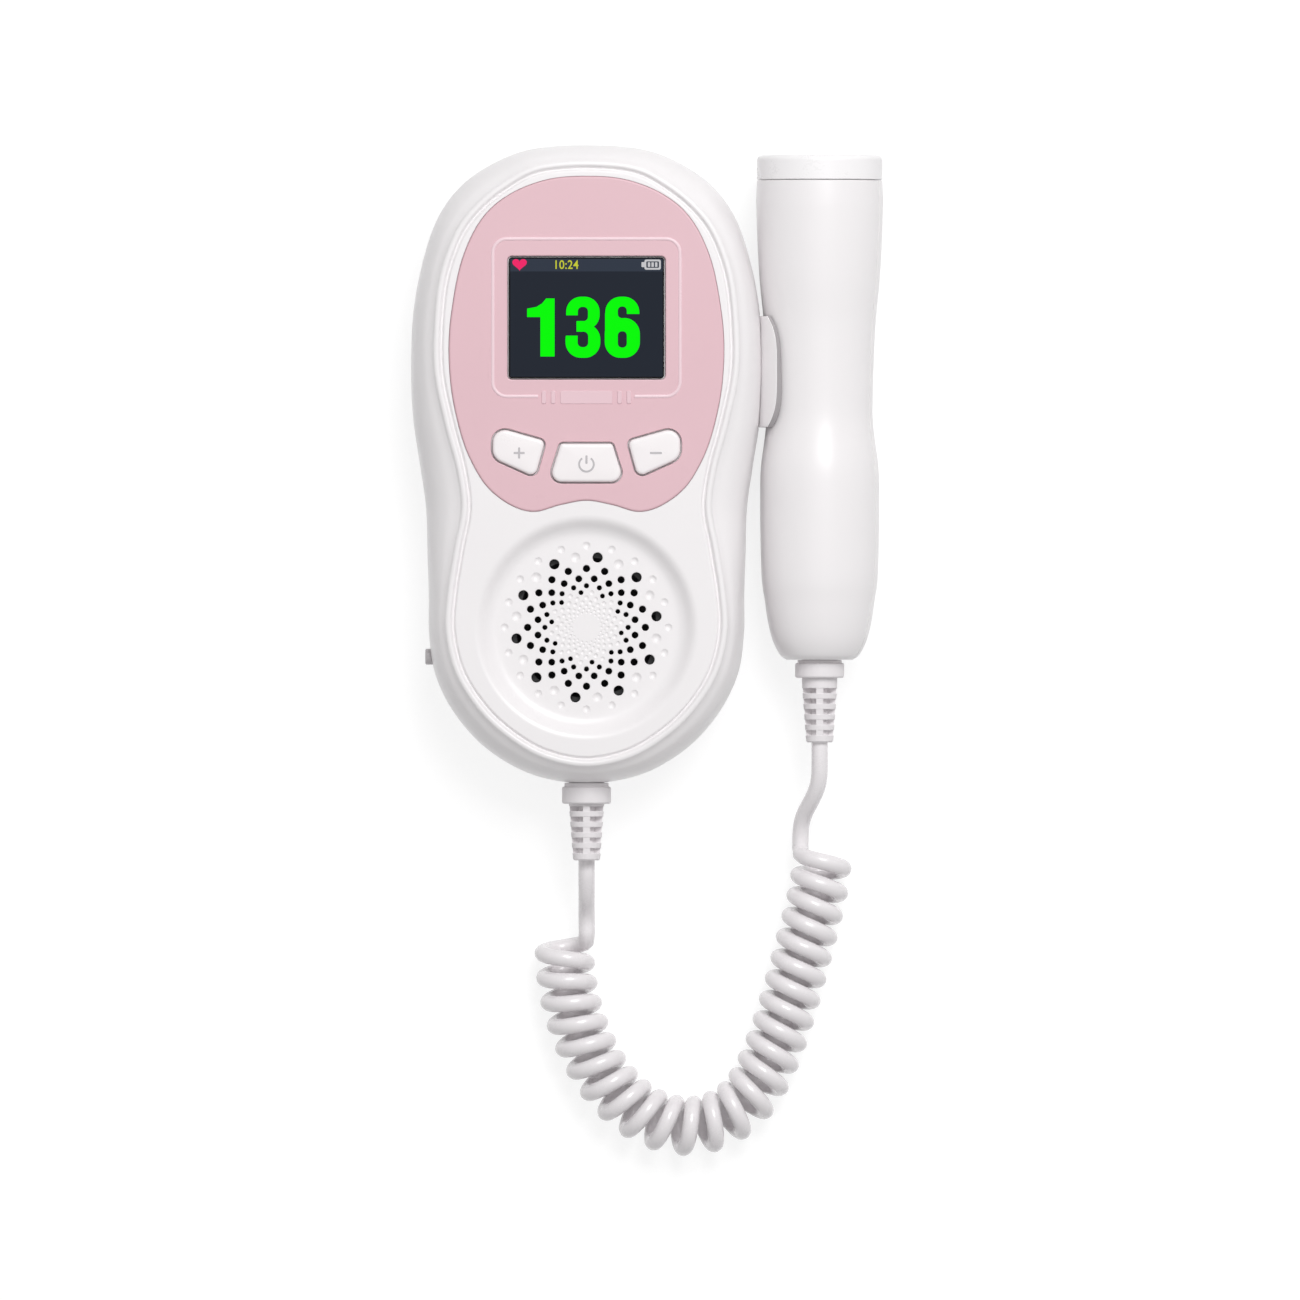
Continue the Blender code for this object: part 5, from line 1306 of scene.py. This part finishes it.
def makeHolder():
    rings = []
    for share in 0.5 - 0.5 * np.cos(np.linspace(0, math.pi, holder["stations"])):
        y = holderLow.y + share * (holderHigh.y - holderLow.y)
        rounding = holder["corner"] * abs(2 * share - 1) ** holder["cornerPower"]
        start, end = math.radians(holder["front"] + rounding), math.radians(holder["rear"] - rounding)
        turn = np.linspace(start, end, holder["arcSteps"])
        inner = probeRadiusAt(y) + fit
        rings.append([roundProbe(holder["outer"], angle, y) for angle in turn]
                     + [roundProbe(inner, angle, y) for angle in turn[::-1]])
    band = softenEdges(ringBody("probeHolder", rings), holder["edge"], angle=50, segments=3)
    tabs = []
    for low, high in tabBoxes():
        drop, catch = low[2] - holder["catch"], low[0] + holder["catch"]
        outline = [(low[0], drop), (low[0], high[2]), (high[0], high[2]), (high[0], low[2]), (catch, low[2]),
                   (catch, drop)]
        tabs.append(ringBody("tab", [[(x, y, z) for x, z in outline] for y in (low[1], high[1])]))
    # painted shade on the end faces and inside, all but the outer skin
    look = paintedShadeInside("holderPlasticPaintedShade", whiteShell, holder["paintedShade"], holder["outer"] - holder["skin"])
    finishPiece(unite(band, gather(tabs)), look, "white_plastic", "unit", "probe_holder")
    print("holder made")


# Strain reliefs

relief = {
    **inMm(
        flange=5.4, flangeThick=1.4, flangeGap=1.8, neck=4.0, collar=5.55, collarRound=0.5, slotPitch=2.38,
        slotHeight=1.1, firstSlot=0.35, core=2.0, rib=1.6, sideRib=0.9, ribInset=0.1, length=12.6, top=4.0,
        tip=3.05, tipEdge=0.3, edge=0.12, shoulder=5.0, shoulderGap=0.06,
        # gap under the shell, collar's length and neck's length
        casingSleeve=(0.9, 3.9, 0.2), probeSleeve=(0.7, 3.4, 2.0)),
    "slots": 5,
}


def makeSleeve(name, node, body, x, z, footY, wall):
    size, edge, rounding = relief, relief["edge"], relief["collarRound"]
    gap, collarLength, neckLength = relief[name]
    flangeLow = footY + wall + size["flangeGap"]
    collarHigh = footY - gap
    collarLow = collarHigh - collarLength
    high = collarLow - neckLength
    low = high - size["length"]

    def radiusAt(y):
        return size["top"] + (size["tip"] - size["top"]) * (high - y) / size["length"]

    neckEnd = footY - size["shoulderGap"]
    profile = [(flangeLow + size["flangeThick"], size["flange"]), (flangeLow, size["flange"]),
               (flangeLow, size["neck"]), (neckEnd, size["neck"]), (neckEnd, size["shoulder"] - edge),
               (neckEnd - edge, size["shoulder"]), (collarHigh, size["shoulder"])]
    profile += [(collarHigh - rounding * (1 - c), size["collar"] - rounding * (1 - s)) for s, c in quarter(4)]
    profile += [(collarLow + rounding * (1 - s), size["collar"] - rounding * (1 - c)) for s, c in quarter(4)]
    profile.append((collarLow, size["top"]))
    for k in range(size["slots"]):
        top = high - size["firstSlot"] - k * size["slotPitch"]
        foot = top - size["slotHeight"]
        profile += [(top + edge, radiusAt(top)), (top, radiusAt(top) - edge), (top, size["core"]),
                    (foot, size["core"]), (foot, radiusAt(foot) - edge), (foot - edge, radiusAt(foot))]
    profile += [(low + size["tipEdge"], size["tip"]), (low, size["tip"] - size["tipEdge"])]
    sleeve = turned(name, profile, (x, None, z), sides=72)
    wide, narrow = size["top"] - size["ribInset"], size["tip"] - size["ribInset"]
    topY, lowY = high + collarLength / 4, low + size["slotHeight"] / 4
    outline = [(topY, wide), (lowY, narrow), (lowY, -narrow), (topY, -wide)]
    front = [[(x + side * size["rib"] / 2, y, z + out) for y, out in outline] for side in (-1, 1)]
    across = [[(x + out, y, z + side * size["sideRib"] / 2) for y, out in outline] for side in (-1, 1)]
    unite(sleeve, ringBody("rib", front), ringBody("rib", across))
    finishPiece(sleeve, looks["soft"], "soft_plastic", body, node)
    print(name, "made")


# Inner pieces keep the frame's shape and get their finish here

inner = {
    "dark": ["lcd_module", "plus_switch", "power_switch", "minus_switch", "transducer_backing",
             "speaker_basket"],
    "casing": ["lcd_frame"],
    "board": ["main_board", "probe_board"],
    "steel": ["speaker_magnet"],
    "plated": ["battery_bridge", "battery_contact_left", "battery_contact_right"],
    "cone": ["speaker_cone"],
    "foam": ["speaker_gasket"],
    "ceramic": ["sender_crystal", "receiver_crystal"],
}


def dressInner():
    for look, nodes in inner.items():
        for node in nodes:
            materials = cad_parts[node].data.materials
            materials.clear()
            materials.append(looks[look])


makeCamera()
makeLight()
makeFloor()
makeCord()
makeFrontCasing()
makeRearCasing()
makeDoor()
makeCells()
makeScrews()
makePanel()
makeKeys()
makeSigns()
makeDisplay()
makeJack()
makeHandle()
makeCap()
makeHolder()
makeSleeve("casingSleeve", "unit_strain_relief", "unit", 0.0, seamZ, rearLow.y, casing["wall"])
makeSleeve("probeSleeve", "probe_strain_relief", "probe", probeX, probeZ, probe["footY"], probe["wall"])
dressInner()
